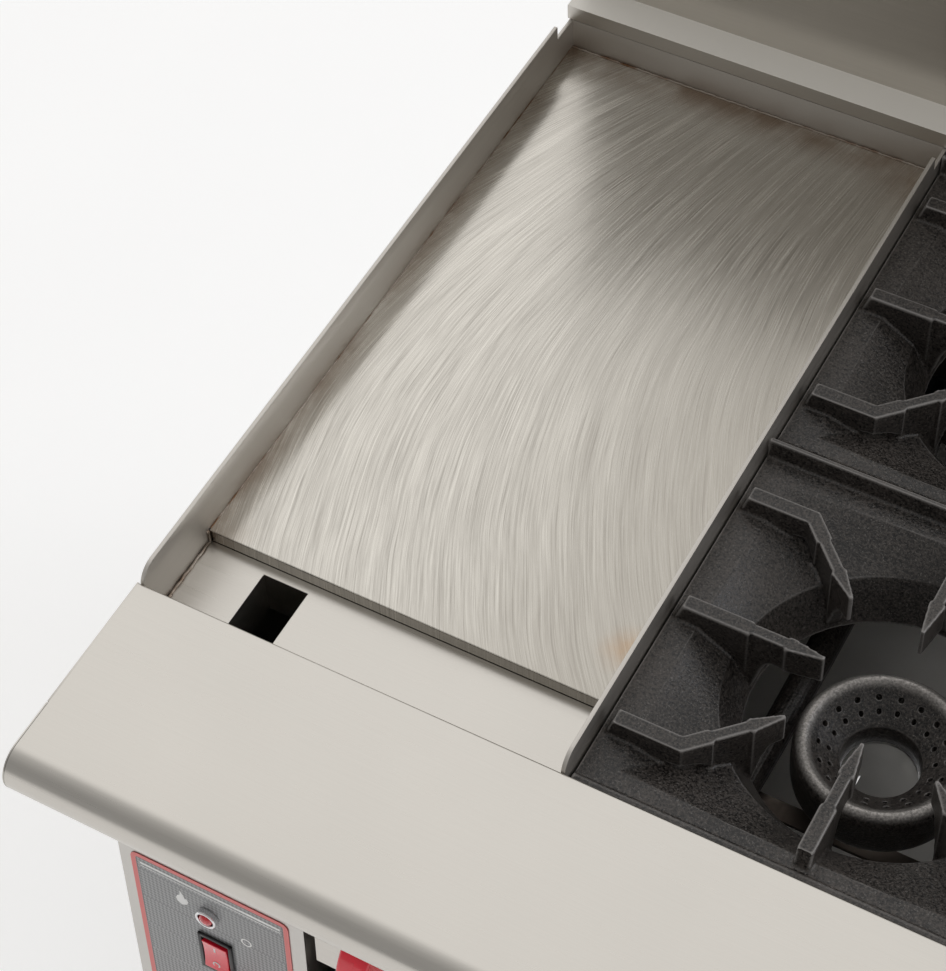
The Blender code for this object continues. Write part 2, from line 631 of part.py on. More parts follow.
def build_access_panel(steel):
    """The lower part of the control column, an upright removable cover."""
    top = DECK.z + CONTROL_PANEL_BOTTOM - 1.5
    right = DECK.x + COLUMN_RIGHT
    low = (-HALF_WIDTH, COLUMN_FACE_Y, LEG_HEIGHT + GAP)
    panel = pan(low, (right, COLUMN_FACE_Y + 25, top), "+Y", "lower_access_panel", steel)
    for row in range(5):
        z = 190 + 14 * row
        cut(panel, block((-430, COLUMN_FACE_Y - 5, z), (-334, COLUMN_FACE_Y + 5, z + 5)))


def build_oven(enamel, wire, iron):
    """The cavity with its front flange and rack guides, two racks and the burner under it."""
    wall = 2.0
    low = [OVEN_X[0] - wall, OVEN_Y[0], OVEN_Z[0] - wall]
    high = [OVEN_X[1] + wall, OVEN_Y[1] + wall, OVEN_Z[1] + wall]
    liner = block(low, high, "oven_liner", enamel)
    flange_low = (DOOR_X[0] + 2, FLANGE_Y, DOOR_Z[0] + 3)
    fuse(liner, block(flange_low, (DOOR_X[1] - 2, FLANGE_Y + 6, DOOR_Z[1] - 3)))
    cut(liner, block((OVEN_X[0], FLANGE_Y - 5, OVEN_Z[0]), (OVEN_X[1], OVEN_Y[1], OVEN_Z[1])))
    cut(liner, rod(10, "Y", (FAN_X, 0, FAN_Z), 250, 270, 12))
    guide_heights = (350, 470)
    for z in guide_heights:
        for x in (OVEN_X[0] - 1, OVEN_X[1] - 9):
            fuse(liner, block((x, -290, z), (x + 10, 185, z + 5)))
    for name, z in zip(("oven_rack_lower", "oven_rack_upper"), guide_heights):
        build_rack(name, z + 5 + 3 + GAP, wire)

    burner = tube(16, 13, "Y", (FAN_X, 0, 222), -290, 200, 12, "oven_burner", iron)
    fuse(burner, rod(16, "Y", (FAN_X, 0, 222), 198, 204, 12))


def build_rack(name, z, wire):
    """A wire rack: a rectangular frame, cross wires and a raised rear stop."""
    left, right, front, rear = OVEN_X[0] + 4, OVEN_X[1] - 4, -300.0, 188.0
    thick = 3.0
    rack = rod(thick, "X", (0, front, z), left, right, 6, name, wire)
    fuse(rack, rod(thick, "X", (0, rear, z), left, right, 6))
    fuse(rack, rod(thick, "Y", (left, 0, z), front, rear, 6), rod(thick, "Y", (right, 0, z), front, rear, 6))
    count = 9
    for i in range(1, count):
        x = left + (right - left) * i / count
        fuse(rack, rod(2.2, "Y", (x, 0, z), front, rear, 6))


def build_fan(enamel, galvanised, steel):
    """The convection fan on its motor's shaft, and the baffle in front of it."""
    hub = tube(12, 5.8, "Y", (0, 0, 0), 214, 250, 12, "convection_fan", steel)
    plate = tube(88, 9, "Y", (0, 0, 0), 246, 248, 24)
    fuse(hub, plate)
    for i in range(8):
        blade = block((36, 216, -1), (84, 247, 1))
        blade.matrix_world = Matrix.Rotation(math.tau * i / 8, 4, "Y")
        fuse(hub, blade)
    hub.location = (FAN_X * MM, 0, FAN_Z * MM)

    motor = rod(52, "Y", (FAN_X, 0, FAN_Z), 268, 390, 20, "fan_motor", galvanised)
    fuse(motor, block((FAN_X - 70, 264.3, FAN_Z - 70), (FAN_X + 70, 268.5, FAN_Z + 70)))
    fuse(motor, rod(5, "Y", (FAN_X, 0, FAN_Z), 225, 266, 12))

    low = (OVEN_X[0] + 60, 200, OVEN_Z[0] + GAP)
    baffle = block(low, (OVEN_X[1] - 60, OVEN_Y[1] - GAP, OVEN_Z[1] - GAP), "fan_baffle", enamel)
    hollow_high = (OVEN_X[1], OVEN_Y[1] + 1, OVEN_Z[1] - GAP - SHEET)
    cut(baffle, block((OVEN_X[0], 201.5, low[2] + SHEET), hollow_high))
    cut(baffle, rod(72, "Y", (FAN_X, 0, FAN_Z), 190, 210, 20))


def build_door(steel, enamel):
    """The drop-down oven door: outer pan, inner liner and bar handle. It turns on its bottom edge."""
    hinge = empty("door_hinge", (0, HINGE_Y, HINGE_Z))

    def local(x, y, z):
        return (x, y - HINGE_Y, z - HINGE_Z)

    left, right = DOOR_X
    low, high = DOOR_Z
    outer_high = local(right, DOOR_BACK, high)
    outer = pan(local(left, DOOR_FRONT, low), outer_high, "+Y", "oven_door", steel)
    plate_high = local(right - 2, FLANGE_Y - 1, high - 2)
    plate = block(local(left + 2, DOOR_BACK + GAP, low + 6), plate_high, "door_liner", enamel)
    margin = 6.0
    fuse(plate, block(local(OVEN_X[0] + margin, FLANGE_Y - 2, OVEN_Z[0] + 12),
                      local(OVEN_X[1] - margin, FLANGE_Y + 8, OVEN_Z[1] - margin)))
    bar_y, bar_z, bar = -414.0, 628.0, 12.5
    handle = rod(bar, "X", local(0, bar_y, bar_z), -240, 400, 16, "door_handle", steel)
    for x in (-200, 360):
        fuse(handle, rod(9, "Y", local(x, HINGE_Y, bar_z), bar_y - HINGE_Y, DOOR_FRONT - GAP - HINGE_Y, 12))
    attach(hinge, outer, plate, handle)


def main():
    clear_scene()
    steel = finish("stainless", (0.62, 0.60, 0.56), 0.32, 1.0)
    polished = finish("griddle_steel", (0.55, 0.52, 0.48), 0.28, 1.0)
    galvanised = finish("galvanised", (0.50, 0.51, 0.52), 0.45, 1.0)
    tray_steel = finish("tray_steel", (0.40, 0.38, 0.35), 0.25, 1.0)
    iron = finish("cast_iron", (0.035, 0.032, 0.030), 0.55, 0.3)
    enamel = finish("enamel", (0.06, 0.06, 0.07), 0.30, 0.0)
    wire = finish("chrome_wire", (0.70, 0.70, 0.70), 0.20, 1.0)
    brass = finish("brass", (0.60, 0.42, 0.16), 0.35, 1.0)
    chrome = finish("chrome", (0.80, 0.80, 0.80), 0.10, 1.0)
    label = finish("label", (0.25, 0.26, 0.28), 0.40, 0.0)
    lens = finish("red_lens", (0.65, 0.02, 0.03), 0.15, 0.0)
    dark = finish("dark_plastic", (0.03, 0.03, 0.03), 0.40, 0.0)
    red = finish("red_plastic", (0.60, 0.01, 0.03), 0.35, 0.0)

    deck = empty("deck", DECK)
    fascia = empty("fascia", FASCIA_ORIGIN, FASCIA_LEAN)
    build_legs(steel)
    build_base(galvanised, steel)
    build_side_panels(steel)
    build_back_panel(galvanised, dark)
    build_back_guard(steel)
    build_ledge(deck, steel)
    build_griddle(deck, polished, steel, iron)
    build_grates(deck, iron)
    build_burners(deck, iron)
    build_burner_box(deck, galvanised, tray_steel)
    build_gas_train(fascia, brass, galvanised)
    build_fascia(fascia, steel, label, chrome, lens, dark, red)
    build_access_panel(steel)
    build_oven(enamel, wire, iron)
    build_fan(enamel, galvanised, steel)
    build_door(steel, enamel)


main()
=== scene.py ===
"""Looks of the commercial gas range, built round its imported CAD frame.

Sizes are in millimetres here. Deck pieces are placed from the griddle plate's front left top
corner, and the controls from the leaning fascia's frame. The helpers change both to metres.
"""

import json
import math

import bmesh
import bpy
from mathutils import Matrix, Vector


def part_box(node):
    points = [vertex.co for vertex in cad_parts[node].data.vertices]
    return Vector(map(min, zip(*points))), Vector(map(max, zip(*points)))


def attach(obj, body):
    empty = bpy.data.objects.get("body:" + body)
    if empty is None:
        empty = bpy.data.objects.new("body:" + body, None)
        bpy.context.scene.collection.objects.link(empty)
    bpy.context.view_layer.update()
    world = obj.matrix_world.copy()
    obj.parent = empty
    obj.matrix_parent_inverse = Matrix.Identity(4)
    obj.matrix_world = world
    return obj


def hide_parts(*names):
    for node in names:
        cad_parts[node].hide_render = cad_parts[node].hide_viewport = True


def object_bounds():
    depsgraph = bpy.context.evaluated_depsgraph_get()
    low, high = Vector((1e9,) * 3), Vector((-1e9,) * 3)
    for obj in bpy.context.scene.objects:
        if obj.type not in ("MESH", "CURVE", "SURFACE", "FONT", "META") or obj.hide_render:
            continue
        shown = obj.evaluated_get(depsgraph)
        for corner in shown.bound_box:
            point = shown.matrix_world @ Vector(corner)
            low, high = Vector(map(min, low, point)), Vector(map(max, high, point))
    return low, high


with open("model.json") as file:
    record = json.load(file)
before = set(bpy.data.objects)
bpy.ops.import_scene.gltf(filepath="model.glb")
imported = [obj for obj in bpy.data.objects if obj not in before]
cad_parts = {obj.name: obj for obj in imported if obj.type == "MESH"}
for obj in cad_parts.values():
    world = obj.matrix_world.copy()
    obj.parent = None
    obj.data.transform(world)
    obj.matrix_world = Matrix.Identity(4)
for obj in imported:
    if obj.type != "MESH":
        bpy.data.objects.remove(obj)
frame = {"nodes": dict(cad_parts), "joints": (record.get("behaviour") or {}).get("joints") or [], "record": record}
cad_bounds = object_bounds()

MM = 0.001
GAP = 0.3
PLATE_LOW, PLATE_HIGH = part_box("griddle_plate")
DECK = Matrix.Translation((PLATE_LOW.x - GAP * MM, PLATE_LOW.y, PLATE_HIGH.z))
ROOM = Matrix.Identity(4)
FORWARD = Matrix.Rotation(math.radians(90), 4, "X")
LEAN = math.radians(-3.8)
KNOB_XZ = (211.0, -140.0)
JOINTS = {joint["name"]: joint for joint in frame["joints"]}
FASCIA_TURN = Matrix.Rotation(LEAN, 4, "X")
FASCIA_HOME = FASCIA_TURN @ Vector((KNOB_XZ[0], -6.0, KNOB_XZ[1])) * MM
FASCIA = Matrix.Translation(Vector(JOINTS["griddle_knob_turn"]["pos_m"]) - FASCIA_HOME) @ FASCIA_TURN

DECK_LEFT, DECK_RIGHT = -4.4, 909.6
LEDGE_TOP, LEDGE_REAR, LEDGE_FRONT, NOSE_RADIUS = 28.0, -72.5, -229.0, 19.0
LEDGE_CAP_REAR = -176.0
PLATE_WIDTH, PLATE_DEPTH = 303.0, 522.0
SPLASH, SPLASH_TOP, SPLASH_REAR_TOP = 3.0, 38.0, 25.5
TROUGH_FLOOR = -11.0
GRATE_X, GRATE_Y = (457.3, 758.7), (75.0, 368.5)
GRATE_NAMES = ("front_left", "front_right", "rear_left", "rear_right")
GRATE_PLACES = dict(zip(GRATE_NAMES, ((x, y) for y in GRATE_Y for x in GRATE_X)))
FINGER_TOP = 30.0
LAMP_XZ, ROCKER_XZ, DIAL_XZ = (67.0, -224.0), (70.0, -273.0), (70.0, -350.0)


# Node helpers


def new_material(name):
    """A material, its node tree, and the socket of its place in the object's own metres."""
    material = bpy.data.materials.new(name)
    material.use_nodes = True
    return material, material.node_tree, node(material.node_tree, "TexCoord", out=3)


def node(tree, kind, out=0, **values):
    """Adds a node, sets its attributes and inputs by name, links the sockets given, and returns an output."""
    made = tree.nodes.new("ShaderNode" + kind)
    for key, value in values.items():
        if hasattr(made, key) and key not in ("inputs", "name"):
            setattr(made, key, value)
            continue
        index = int(key[1:]) if key[0] == "i" and key[1:].isdigit() else key.replace("_", " ")
        feed(tree, made.inputs[index], value)
    return made.outputs[out]


def feed(tree, socket, value):
    """Links another node's output to a socket, or sets a plain value on it."""
    if isinstance(value, bpy.types.NodeSocket):
        tree.links.new(value, socket)
    else:
        socket.default_value = value


def opaque(color):
    """A plain color gets its alpha. A socket stays as it is."""
    return (*color, 1.0) if isinstance(color, tuple) else color


def math_node(tree, operation, a, b=0.0, c=0.0, clamp=False):
    return node(tree, "Math", operation=operation, use_clamp=clamp, i0=a, i1=b, i2=c)


def vector_node(tree, operation, a, b=(0, 0, 0), out=0):
    return node(tree, "VectorMath", out=out, operation=operation, i0=a, i1=b)


def blend_color(tree, factor, a, b):
    made = tree.nodes.new("ShaderNodeMix")
    made.data_type = "RGBA"
    for index, value in ((0, factor), (6, a), (7, b)):
        feed(tree, made.inputs[index], opaque(value))
    return made.outputs[2]


def spread(tree, value, low, high, to_low=0.0, to_high=1.0, smooth=False):
    """Maps a range of a value onto another, held at both ends."""
    made = tree.nodes.new("ShaderNodeMapRange")
    made.interpolation_type = "SMOOTHSTEP" if smooth else "LINEAR"
    tree.links.new(value, made.inputs[0])
    for index, number in enumerate((low, high, to_low, to_high), 1):
        made.inputs[index].default_value = number
    return made.outputs[0]


def weigh(tree, a, b, share):
    """A share of one value and the rest of another."""
    return math_node(tree, "MULTIPLY_ADD", a, share, math_node(tree, "MULTIPLY", b, 1.0 - share))


def split_of(tree, vector):
    """A vector's three coordinates."""
    made = tree.nodes.new("ShaderNodeSeparateXYZ")
    tree.links.new(vector, made.inputs[0])
    return made.outputs


def cells_of(tree, kind, vector, scale):
    """The outputs of a Voronoi or Checker texture."""
    made = tree.nodes.new("ShaderNodeTex" + kind)
    tree.links.new(vector, made.inputs["Vector"])
    made.inputs["Scale"].default_value = scale
    return made.outputs


def noise(tree, vector, scale, detail=3.0, roughness=0.5, stretch=(1, 1, 1)):
    """Noise of about one feature for each 1/scale metres, stretched along each axis."""
    moved = vector_node(tree, "MULTIPLY", vector, stretch)
    return node(tree, "TexNoise", Vector=moved, Scale=scale, Detail=detail, Roughness=roughness)


def surface(tree, color, roughness, metallic=0.0, bump=None, bump_strength=0.2, bump_depth=0.0002, **more):
    """Sets the Principled shader. Plain numbers stay on its sockets."""
    shader = tree.nodes["Principled BSDF"]
    values = {"Base Color": color, "Roughness": roughness, "Metallic": metallic}
    values.update({key.replace("_", " "): value for key, value in more.items()})
    for key, value in values.items():
        feed(tree, shader.inputs[key], opaque(value))
    if bump is not None:
        normal = node(tree, "Bump", Strength=bump_strength, Distance=bump_depth, Height=bump)
        tree.links.new(normal, shader.inputs["Normal"])
    return shader


# Materials


def brushed(name, along, color=(0.615, 0.588, 0.545), rough=0.30, anisotropic=0.55):
    """Stainless sheet with a fine grain along one axis."""
    material, tree, place = new_material(name)
    fine_stretch = tuple(0.006 if axis == along else 1.0 for axis in "XYZ")
    long_stretch = tuple(0.02 if axis == along else 1.0 for axis in "XYZ")
    fine = noise(tree, place, 2600.0, 3.0, 0.6, fine_stretch)
    streak = noise(tree, place, 320.0, 4.0, 0.6, long_stretch)
    cloud = noise(tree, place, 7.0, 3.0)
    grain = weigh(tree, fine, streak, 0.6)
    shade = weigh(tree, cloud, grain, 0.25)
    dark = tuple(channel * 0.93 for channel in color)
    light = tuple(min(1.0, channel * 1.07) for channel in color)
    tone = blend_color(tree, spread(tree, shade, 0.3, 0.7), dark, light)
    roughness = spread(tree, grain, 0.3, 0.7, rough - 0.05, rough + 0.10)
    direction = node(tree, "CombineXYZ", **{axis: float(axis == along) for axis in "XYZ"})
    surface(tree, tone, roughness, 1.0, grain, 0.10, 0.00004, Anisotropic=anisotropic, Tangent=direction)
    return material


def guard_sheet():
    """The back guard's brushed sheet, painted paler and duller where it faces up: a painted highlight for its lit
    top.
    """
    material = brushed("guard_sheet", "X", rough=0.36)
    tree = material.node_tree
    shader = tree.nodes["Principled BSDF"]
    sheet_tone = shader.inputs["Base Color"].links[0].from_socket
    # Painted highlight: faces that point up get a paler, less metallic colour, standing in for the light on the
    # guard's top.
    level = spread(tree, split_of(tree, node(tree, "NewGeometry", out=1))[2], 0.3, 0.8)
    tone = blend_color(tree, level, sheet_tone, (0.86, 0.83, 0.77))
    tree.links.new(tone, shader.inputs["Base Color"])
    tree.links.new(spread(tree, level, 0.0, 1.0, 1.0, 0.12), shader.inputs["Metallic"])
    return material


def ground_plate():
    """The griddle's ground steel: fine curved strokes, a brown heat tint along its edges, and painted shade that
    darkens it towards its right side.
    """
    material, tree, place = new_material("ground_plate")
    stroke, along, turn = grinding_strokes(tree, place)
    drift = math_node(tree, "MULTIPLY_ADD", noise(tree, place, 5.0, 2.0), 0.02, stroke)
    hair = node(tree, "CombineXYZ", X=drift, Y=math_node(tree, "MULTIPLY", along, 0.012))
    line = node(tree, "CombineXYZ", X=drift, Y=math_node(tree, "MULTIPLY", along, 0.030))
    fine = node(tree, "TexNoise", Vector=hair, Scale=1100.0, Detail=3.0, Roughness=0.65)
    coarse = node(tree, "TexNoise", Vector=line, Scale=470.0, Detail=4.0, Roughness=0.7)
    band = node(tree, "TexNoise", Vector=line, Scale=45.0, Detail=3.0, Roughness=0.6)
    grain = weigh(tree, fine, coarse, 0.45)
    shade = weigh(tree, band, grain, 0.15)
    tone = blend_color(tree, spread(tree, shade, 0.36, 0.64), (0.34, 0.320, 0.288), (0.78, 0.747, 0.685))
    # Painted shade: the plate darkens to a brownish grey towards its right side, standing in for the duller
    # reflection there.
    painted_shade_right = spread(tree, split_of(tree, place)[0], PLATE_LOW.x + 0.10, PLATE_HIGH.x, 0.0, 0.42, True)
    tone = blend_color(tree, painted_shade_right, tone, (0.27, 0.245, 0.205))
    warm, orange = heat_masks(tree, place)
    tone = blend_color(tree, warm, tone, (0.22, 0.155, 0.105))
    tone = blend_color(tree, orange, tone, (0.46, 0.25, 0.09))
    roughness = spread(tree, grain, 0.36, 0.64, 0.17, 0.31)
    surface(tree, tone, roughness, 1.0, grain, 0.16, 0.00005, Anisotropic=0.72, Tangent=turn)
    return material


def grinding_strokes(tree, place):
    """Curved strokes that draw together to the rear: a stroke's number, the way along it, and its direction.

    A stroke leans by lean + by_x * x + by_y * y, from the plate's front left corner, in metres.
    """
    lean, by_x, by_y = -0.277, -1.8, 1.9
    slope = -by_y / by_x
    x, y, _ = split_of(tree, vector_node(tree, "SUBTRACT", place, tuple(DECK.translation)))
    shifted = math_node(tree, "ADD", x, (lean - slope) / by_x)
    apart = math_node(tree, "MULTIPLY_ADD", y, -slope, shifted)
    growth = math_node(tree, "EXPONENT", math_node(tree, "MULTIPLY", y, -by_x))
    stroke = math_node(tree, "MULTIPLY", apart, growth)
    sideways = math_node(tree, "MULTIPLY_ADD", y, by_y, lean)
    sideways = math_node(tree, "MULTIPLY_ADD", x, by_x, sideways)
    turn = vector_node(tree, "NORMALIZE", node(tree, "CombineXYZ", X=sideways, Y=1.0))
    return stroke, y, turn


def heat_masks(tree, place):
    """Where the plate is brown: a haze along its seams and corners, and an orange spot at the front right."""
    x, y, _ = split_of(tree, place)
    left = math_node(tree, "SUBTRACT", x, PLATE_LOW.x)
    right = math_node(tree, "SUBTRACT", PLATE_HIGH.x, x)
    rear = math_node(tree, "SUBTRACT", PLATE_HIGH.y, y)
    front = math_node(tree, "SUBTRACT", y, PLATE_LOW.y)
    patch = spread(tree, noise(tree, place, 24.0, 4.0, 0.6), 0.30, 0.62)
    hazes = [(rear, 0.034, 0.85), (left, 0.016, 0.65), (right, 0.010, 0.40)]
    corners = ((right, rear, 0.075, 0.9), (left, rear, 0.06, 0.8), (left, front, 0.04, 0.5))
    for side, end, size, depth in corners:
        corner = node(tree, "CombineXYZ", X=side, Y=end)
        hazes.append((vector_node(tree, "LENGTH", corner, out=1), size, depth))
    warm, *others = [spread(tree, reach, 0.0, size, depth, 0.0, True) for reach, size, depth in hazes]
    for mask in others:
        warm = math_node(tree, "MAXIMUM", warm, mask)
    aside = math_node(tree, "SUBTRACT", right, 0.008)
    behind = math_node(tree, "SUBTRACT", front, 0.040)
    spot = vector_node(tree, "LENGTH", node(tree, "CombineXYZ", X=aside, Y=behind), out=1)
    orange = spread(tree, spot, 0.002, 0.028, 0.42, 0.0, True)
    return [math_node(tree, "MULTIPLY", mask, patch, clamp=True) for mask in (warm, orange)]


def cast_iron(name="cast_iron_coat", worn_above=None):
    """Black coated iron with a sand-cast skin, painted glints and painted highlights on its sharp edges. Above a
    height, its coat is worn to a dull silver sheen.
    """
    material, tree, place = new_material(name)
    sand = noise(tree, place, 560.0, 2.0, 0.7)
    lumps = noise(tree, place, 150.0, 3.0, 0.6)
    cloud = noise(tree, place, 14.0, 2.0)
    shade = spread(tree, weigh(tree, cloud, sand, 0.25), 0.40, 0.60)
    tone = blend_color(tree, shade, (0.004, 0.0033, 0.0030), (0.062, 0.0530, 0.0470))
    # Painted glints: pale specks in the base colour stand in for light catching the sand skin.
    glint_specks = spread(tree, noise(tree, place, 900.0, 2.0), 0.60, 0.70)
    tone = blend_color(tree, math_node(tree, "MULTIPLY", glint_specks, 0.6), tone, (0.17, 0.160, 0.150))
    # Painted highlight: sharp edges, found by pointiness, are lightened for their lit edges, and for some rubbed
    # wear.
    edge = spread(tree, node(tree, "NewGeometry", out=7), 0.510, 0.545, 0.0, 0.7)
    tone = blend_color(tree, edge, tone, (0.30, 0.285, 0.275))
    height = weigh(tree, lumps, sand, 0.3)
    roughness = spread(tree, sand, 0.3, 0.7, 0.27, 0.46)
    metallic = 0.0
    if worn_above is not None:
        top = spread(tree, split_of(tree, place)[2], worn_above, worn_above + 0.005, 0.0, 1.0, True)
        speck = spread(tree, noise(tree, place, 620.0, 3.0, 0.6), 0.36, 0.66, 0.35, 0.9)
        metallic = math_node(tree, "MULTIPLY", top, speck)
        tone = blend_color(tree, metallic, tone, (0.46, 0.435, 0.41))
    surface(tree, tone, roughness, metallic, height, 0.8, 0.0007, Specular_IOR_Level=0.48)
    return material


def enamel():
    """Dark vitreous enamel with pale specks."""
    material, tree, place = new_material("dark_enamel")
    speck = spread(tree, noise(tree, place, 700.0, 2.0), 0.68, 0.72)
    tone = blend_color(tree, speck, (0.022, 0.024, 0.030), (0.30, 0.31, 0.34))
    peel = noise(tree, place, 160.0, 2.0)
    surface(tree, tone, spread(tree, peel, 0.3, 0.7, 0.16, 0.26), 0.0, peel, 0.12, 0.0002, Coat_Weight=0.4)
    return material


def galvanised():
    """Zinc coat with its spangle."""
    material, tree, place = new_material("zinc_spangle")
    spangle = node(tree, "RGBToBW", Color=cells_of(tree, "Voronoi", place, 85.0)["Color"])
    tone = blend_color(tree, spread(tree, spangle, 0.1, 0.9), (0.49, 0.50, 0.51), (0.59, 0.60, 0.61))
    fine = noise(tree, place, 500.0, 3.0)
    roughness = math_node(tree, "MULTIPLY_ADD", spangle, 0.18, spread(tree, fine, 0.3, 0.7, 0.30, 0.40))
    surface(tree, tone, roughness, 0.9, fine, 0.12, 0.0001)
    return material


def satin_metal(name, dark, light, rough, scale=240.0, metallic=1.0):
    """Plain metal with soft handling marks."""
    material, tree, place = new_material(name)
    cloud = noise(tree, place, scale * 0.2, 3.0)
    fine = noise(tree, place, scale * 4.0, 3.0)
    tone = blend_color(tree, spread(tree, cloud, 0.3, 0.7), dark, light)
    surface(tree, tone, spread(tree, fine, 0.3, 0.7, rough, rough + 0.12), metallic, fine, 0.08, 0.0001)
    return material


def moulded(name, color, rough, coat=0.0):
    """Moulded plastic with a faint texture and a little dust."""
    material, tree, place = new_material(name)
    fine = noise(tree, place, 1500.0, 2.0)
    cloud = noise(tree, place, 40.0, 3.0)
    paler = tuple(min(1.0, channel * 1.25 + 0.006) for channel in color)
    tone = blend_color(tree, spread(tree, cloud, 0.35, 0.75), color, paler)
    roughness = spread(tree, fine, 0.3, 0.7, rough, rough + 0.08)
    surface(tree, tone, roughness, 0.0, fine, 0.06, 0.0001, Coat_Weight=coat)
    return material


def overlay_print():
    """The control label: a red border and a thin dark line round a woven grey field."""
    material, tree, place = new_material("overlay_print")
    low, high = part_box("control_label")
    half = (high - low) / 2 - Vector((0.006, 0.0, 0.006))
    middle = (low + high) / 2
    from_middle = vector_node(tree, "ABSOLUTE", vector_node(tree, "SUBTRACT", place, tuple(middle)))
    beyond = vector_node(tree, "SUBTRACT", from_middle, (half.x, 1.0, half.z))
    beyond = vector_node(tree, "MAXIMUM", beyond, (0.0, 0.0, 0.0))
    rim = vector_node(tree, "LENGTH", beyond, out=1)
    border = spread(tree, rim, 0.0017, 0.0020)
    line_out, line_in = spread(tree, rim, 0.0008, 0.0010), spread(tree, rim, 0.0015, 0.0013)
    keyline = math_node(tree, "MULTIPLY", line_out, line_in)
    turned = node(tree, "VectorRotate", rotation_type="Y_AXIS", Vector=place, Angle=math.radians(45))
    squares = cells_of(tree, "Checker", turned, 430.0)["Fac"]
    weave = blend_color(tree, squares, (0.15, 0.152, 0.155), (0.31, 0.315, 0.32))
    weave = blend_color(tree, keyline, weave, (0.03, 0.03, 0.03))
    tone = blend_color(tree, border, weave, (0.72, 0.120, 0.110))
    fine = noise(tree, place, 900.0, 2.0)
    surface(tree, tone, spread(tree, fine, 0.3, 0.7, 0.30, 0.38), 0.0, fine, 0.05, 0.0001, Coat_Weight=0.3)
    return material


def lens_red():
    """Clear red lamp lens with a fine prism pattern inside."""
    material, tree, place = new_material("lens_red")
    prism = cells_of(tree, "Voronoi", place, 900.0)["Distance"]
    tone = blend_color(tree, prism, (0.85, 0.03, 0.04), (0.42, 0.004, 0.012))
    surface(tree, tone, 0.10, 0.0, prism, 0.15, 0.0002, Coat_Weight=1.0, Coat_Roughness=0.04)
    return material


def weld_metal():
    """A fusion weld: silver ripples, with a brown tint in places."""
    material, tree, place = new_material("weld_metal")
    cloud = noise(tree, place, 60.0, 3.0)
    fine = noise(tree, place, 900.0, 3.0)
    tone = blend_color(tree, spread(tree, cloud, 0.45, 0.65), (0.30, 0.26, 0.22), (0.14, 0.075, 0.038))
    surface(tree, tone, spread(tree, fine, 0.3, 0.7, 0.25, 0.5), 1.0, fine, 0.4, 0.0003)
    return material


def plain_floor():
    """Matt pale paint, lit a little from within so that it stays even."""
    material, tree, place = new_material("floor_paint")
    cloud = noise(tree, place, 3.0, 3.0)
    tone = blend_color(tree, cloud, (0.90, 0.90, 0.90), (0.94, 0.94, 0.94))
    fine = noise(tree, place, 300.0, 2.0)
    glow = {"Emission_Color": (1.0, 1.0, 1.0), "Emission_Strength": 0.28}
    surface(tree, tone, 0.7, 0.0, fine, 0.05, 0.0002, **glow)
    return material


# Mesh helpers


def mesh_of(name, bm):
    """Turns a bmesh into a mesh, and frees it."""
    mesh = bpy.data.meshes.new(name)
    bm.to_mesh(mesh)
    bm.free()
    return mesh


def add_object(name, data):
    made = bpy.data.objects.new(name, data)
    bpy.context.scene.collection.objects.link(made)
    return made


def piece(name, bm, material, body="range", place=DECK, crease=38.0, replaces=()):
    """An object from a bmesh in millimetres, smooth except at creases, that rides on a body."""
    bmesh.ops.recalc_face_normals(bm, faces=bm.faces)
    bmesh.ops.scale(bm, vec=(MM, MM, MM), verts=bm.verts)
    bmesh.ops.transform(bm, matrix=place, verts=bm.verts)
    for face in bm.faces:
        face.smooth = True
    for edge in sharp_edges(bm, crease):
        edge.smooth = False
    mesh = mesh_of(name, bm)
    mesh.materials.append(material)
    made = add_object(name, mesh)
    settle(made, body, replaces)
    return made


def settle(obj, body, replaces=()):
    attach(obj, body)
    if replaces:
        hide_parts(*replaces)


def add_loft(bm, rows, closed=False, capped=True):
    """Joins loops of points into a skin. Closed loops back to the first row, as in a ring."""
    loops = [[bm.verts.new(point) for point in row] for row in rows]
    count = len(loops[0])
    ends = loops[1:] + ([loops[0]] if closed else [])
    for lower, upper in zip(loops, ends):
        for i in range(count):
            j = (i + 1) % count
            bm.faces.new([lower[i], lower[j], upper[j], upper[i]])
    if capped and not closed:
        bm.faces.new(loops[0][::-1])
        bm.faces.new(loops[-1])
    return loops


def add_turned(bm, profile, segments=64, closed=False, place=ROOM):
    """Turns (radius, height) points about Z, then moves them. A closed profile makes a ring."""
    rows = []
    for radius, height in profile:
        row = []
        for i in range(segments):
            turn = math.tau * i / segments
            point = Vector((radius * math.cos(turn), radius * math.sin(turn), height))
            row.append(place @ point)
        rows.append(row)
    return add_loft(bm, rows, closed)


def add_prism(bm, points, axis, low, high, bevel=0.0, segments=2):
    """Sweeps an outline along an axis, with rounded edges. The points hold the other two coordinates."""
    def at(point, along):
        values = list(point)
        values.insert("XYZ".index(axis), along)
        return values

    made = bmesh.new()
    add_loft(made, [[at(point, end) for point in points] for end in (low, high)])
    round_edges(made, bevel, segments)
    merge(bm, made)


def add_block(bm, low, high, bevel=0.0, place=ROOM):
    """A box between two corners, with rounded edges."""
    low, high = Vector(low), Vector(high)
    fit = Matrix.Translation((low + high) / 2) @ Matrix.Diagonal((*(high - low), 1.0))
    made = bmesh.new()
    bmesh.ops.create_cube(made, size=1.0, matrix=fit)
    round_edges(made, bevel)
    bmesh.ops.transform(made, matrix=place, verts=made.verts)
    merge(bm, made)


def sharp_edges(bm, over):
    """The edges whose faces meet at more than an angle in degrees."""
    return [edge for edge in bm.edges if edge.is_manifold and edge.calc_face_angle() > math.radians(over)]


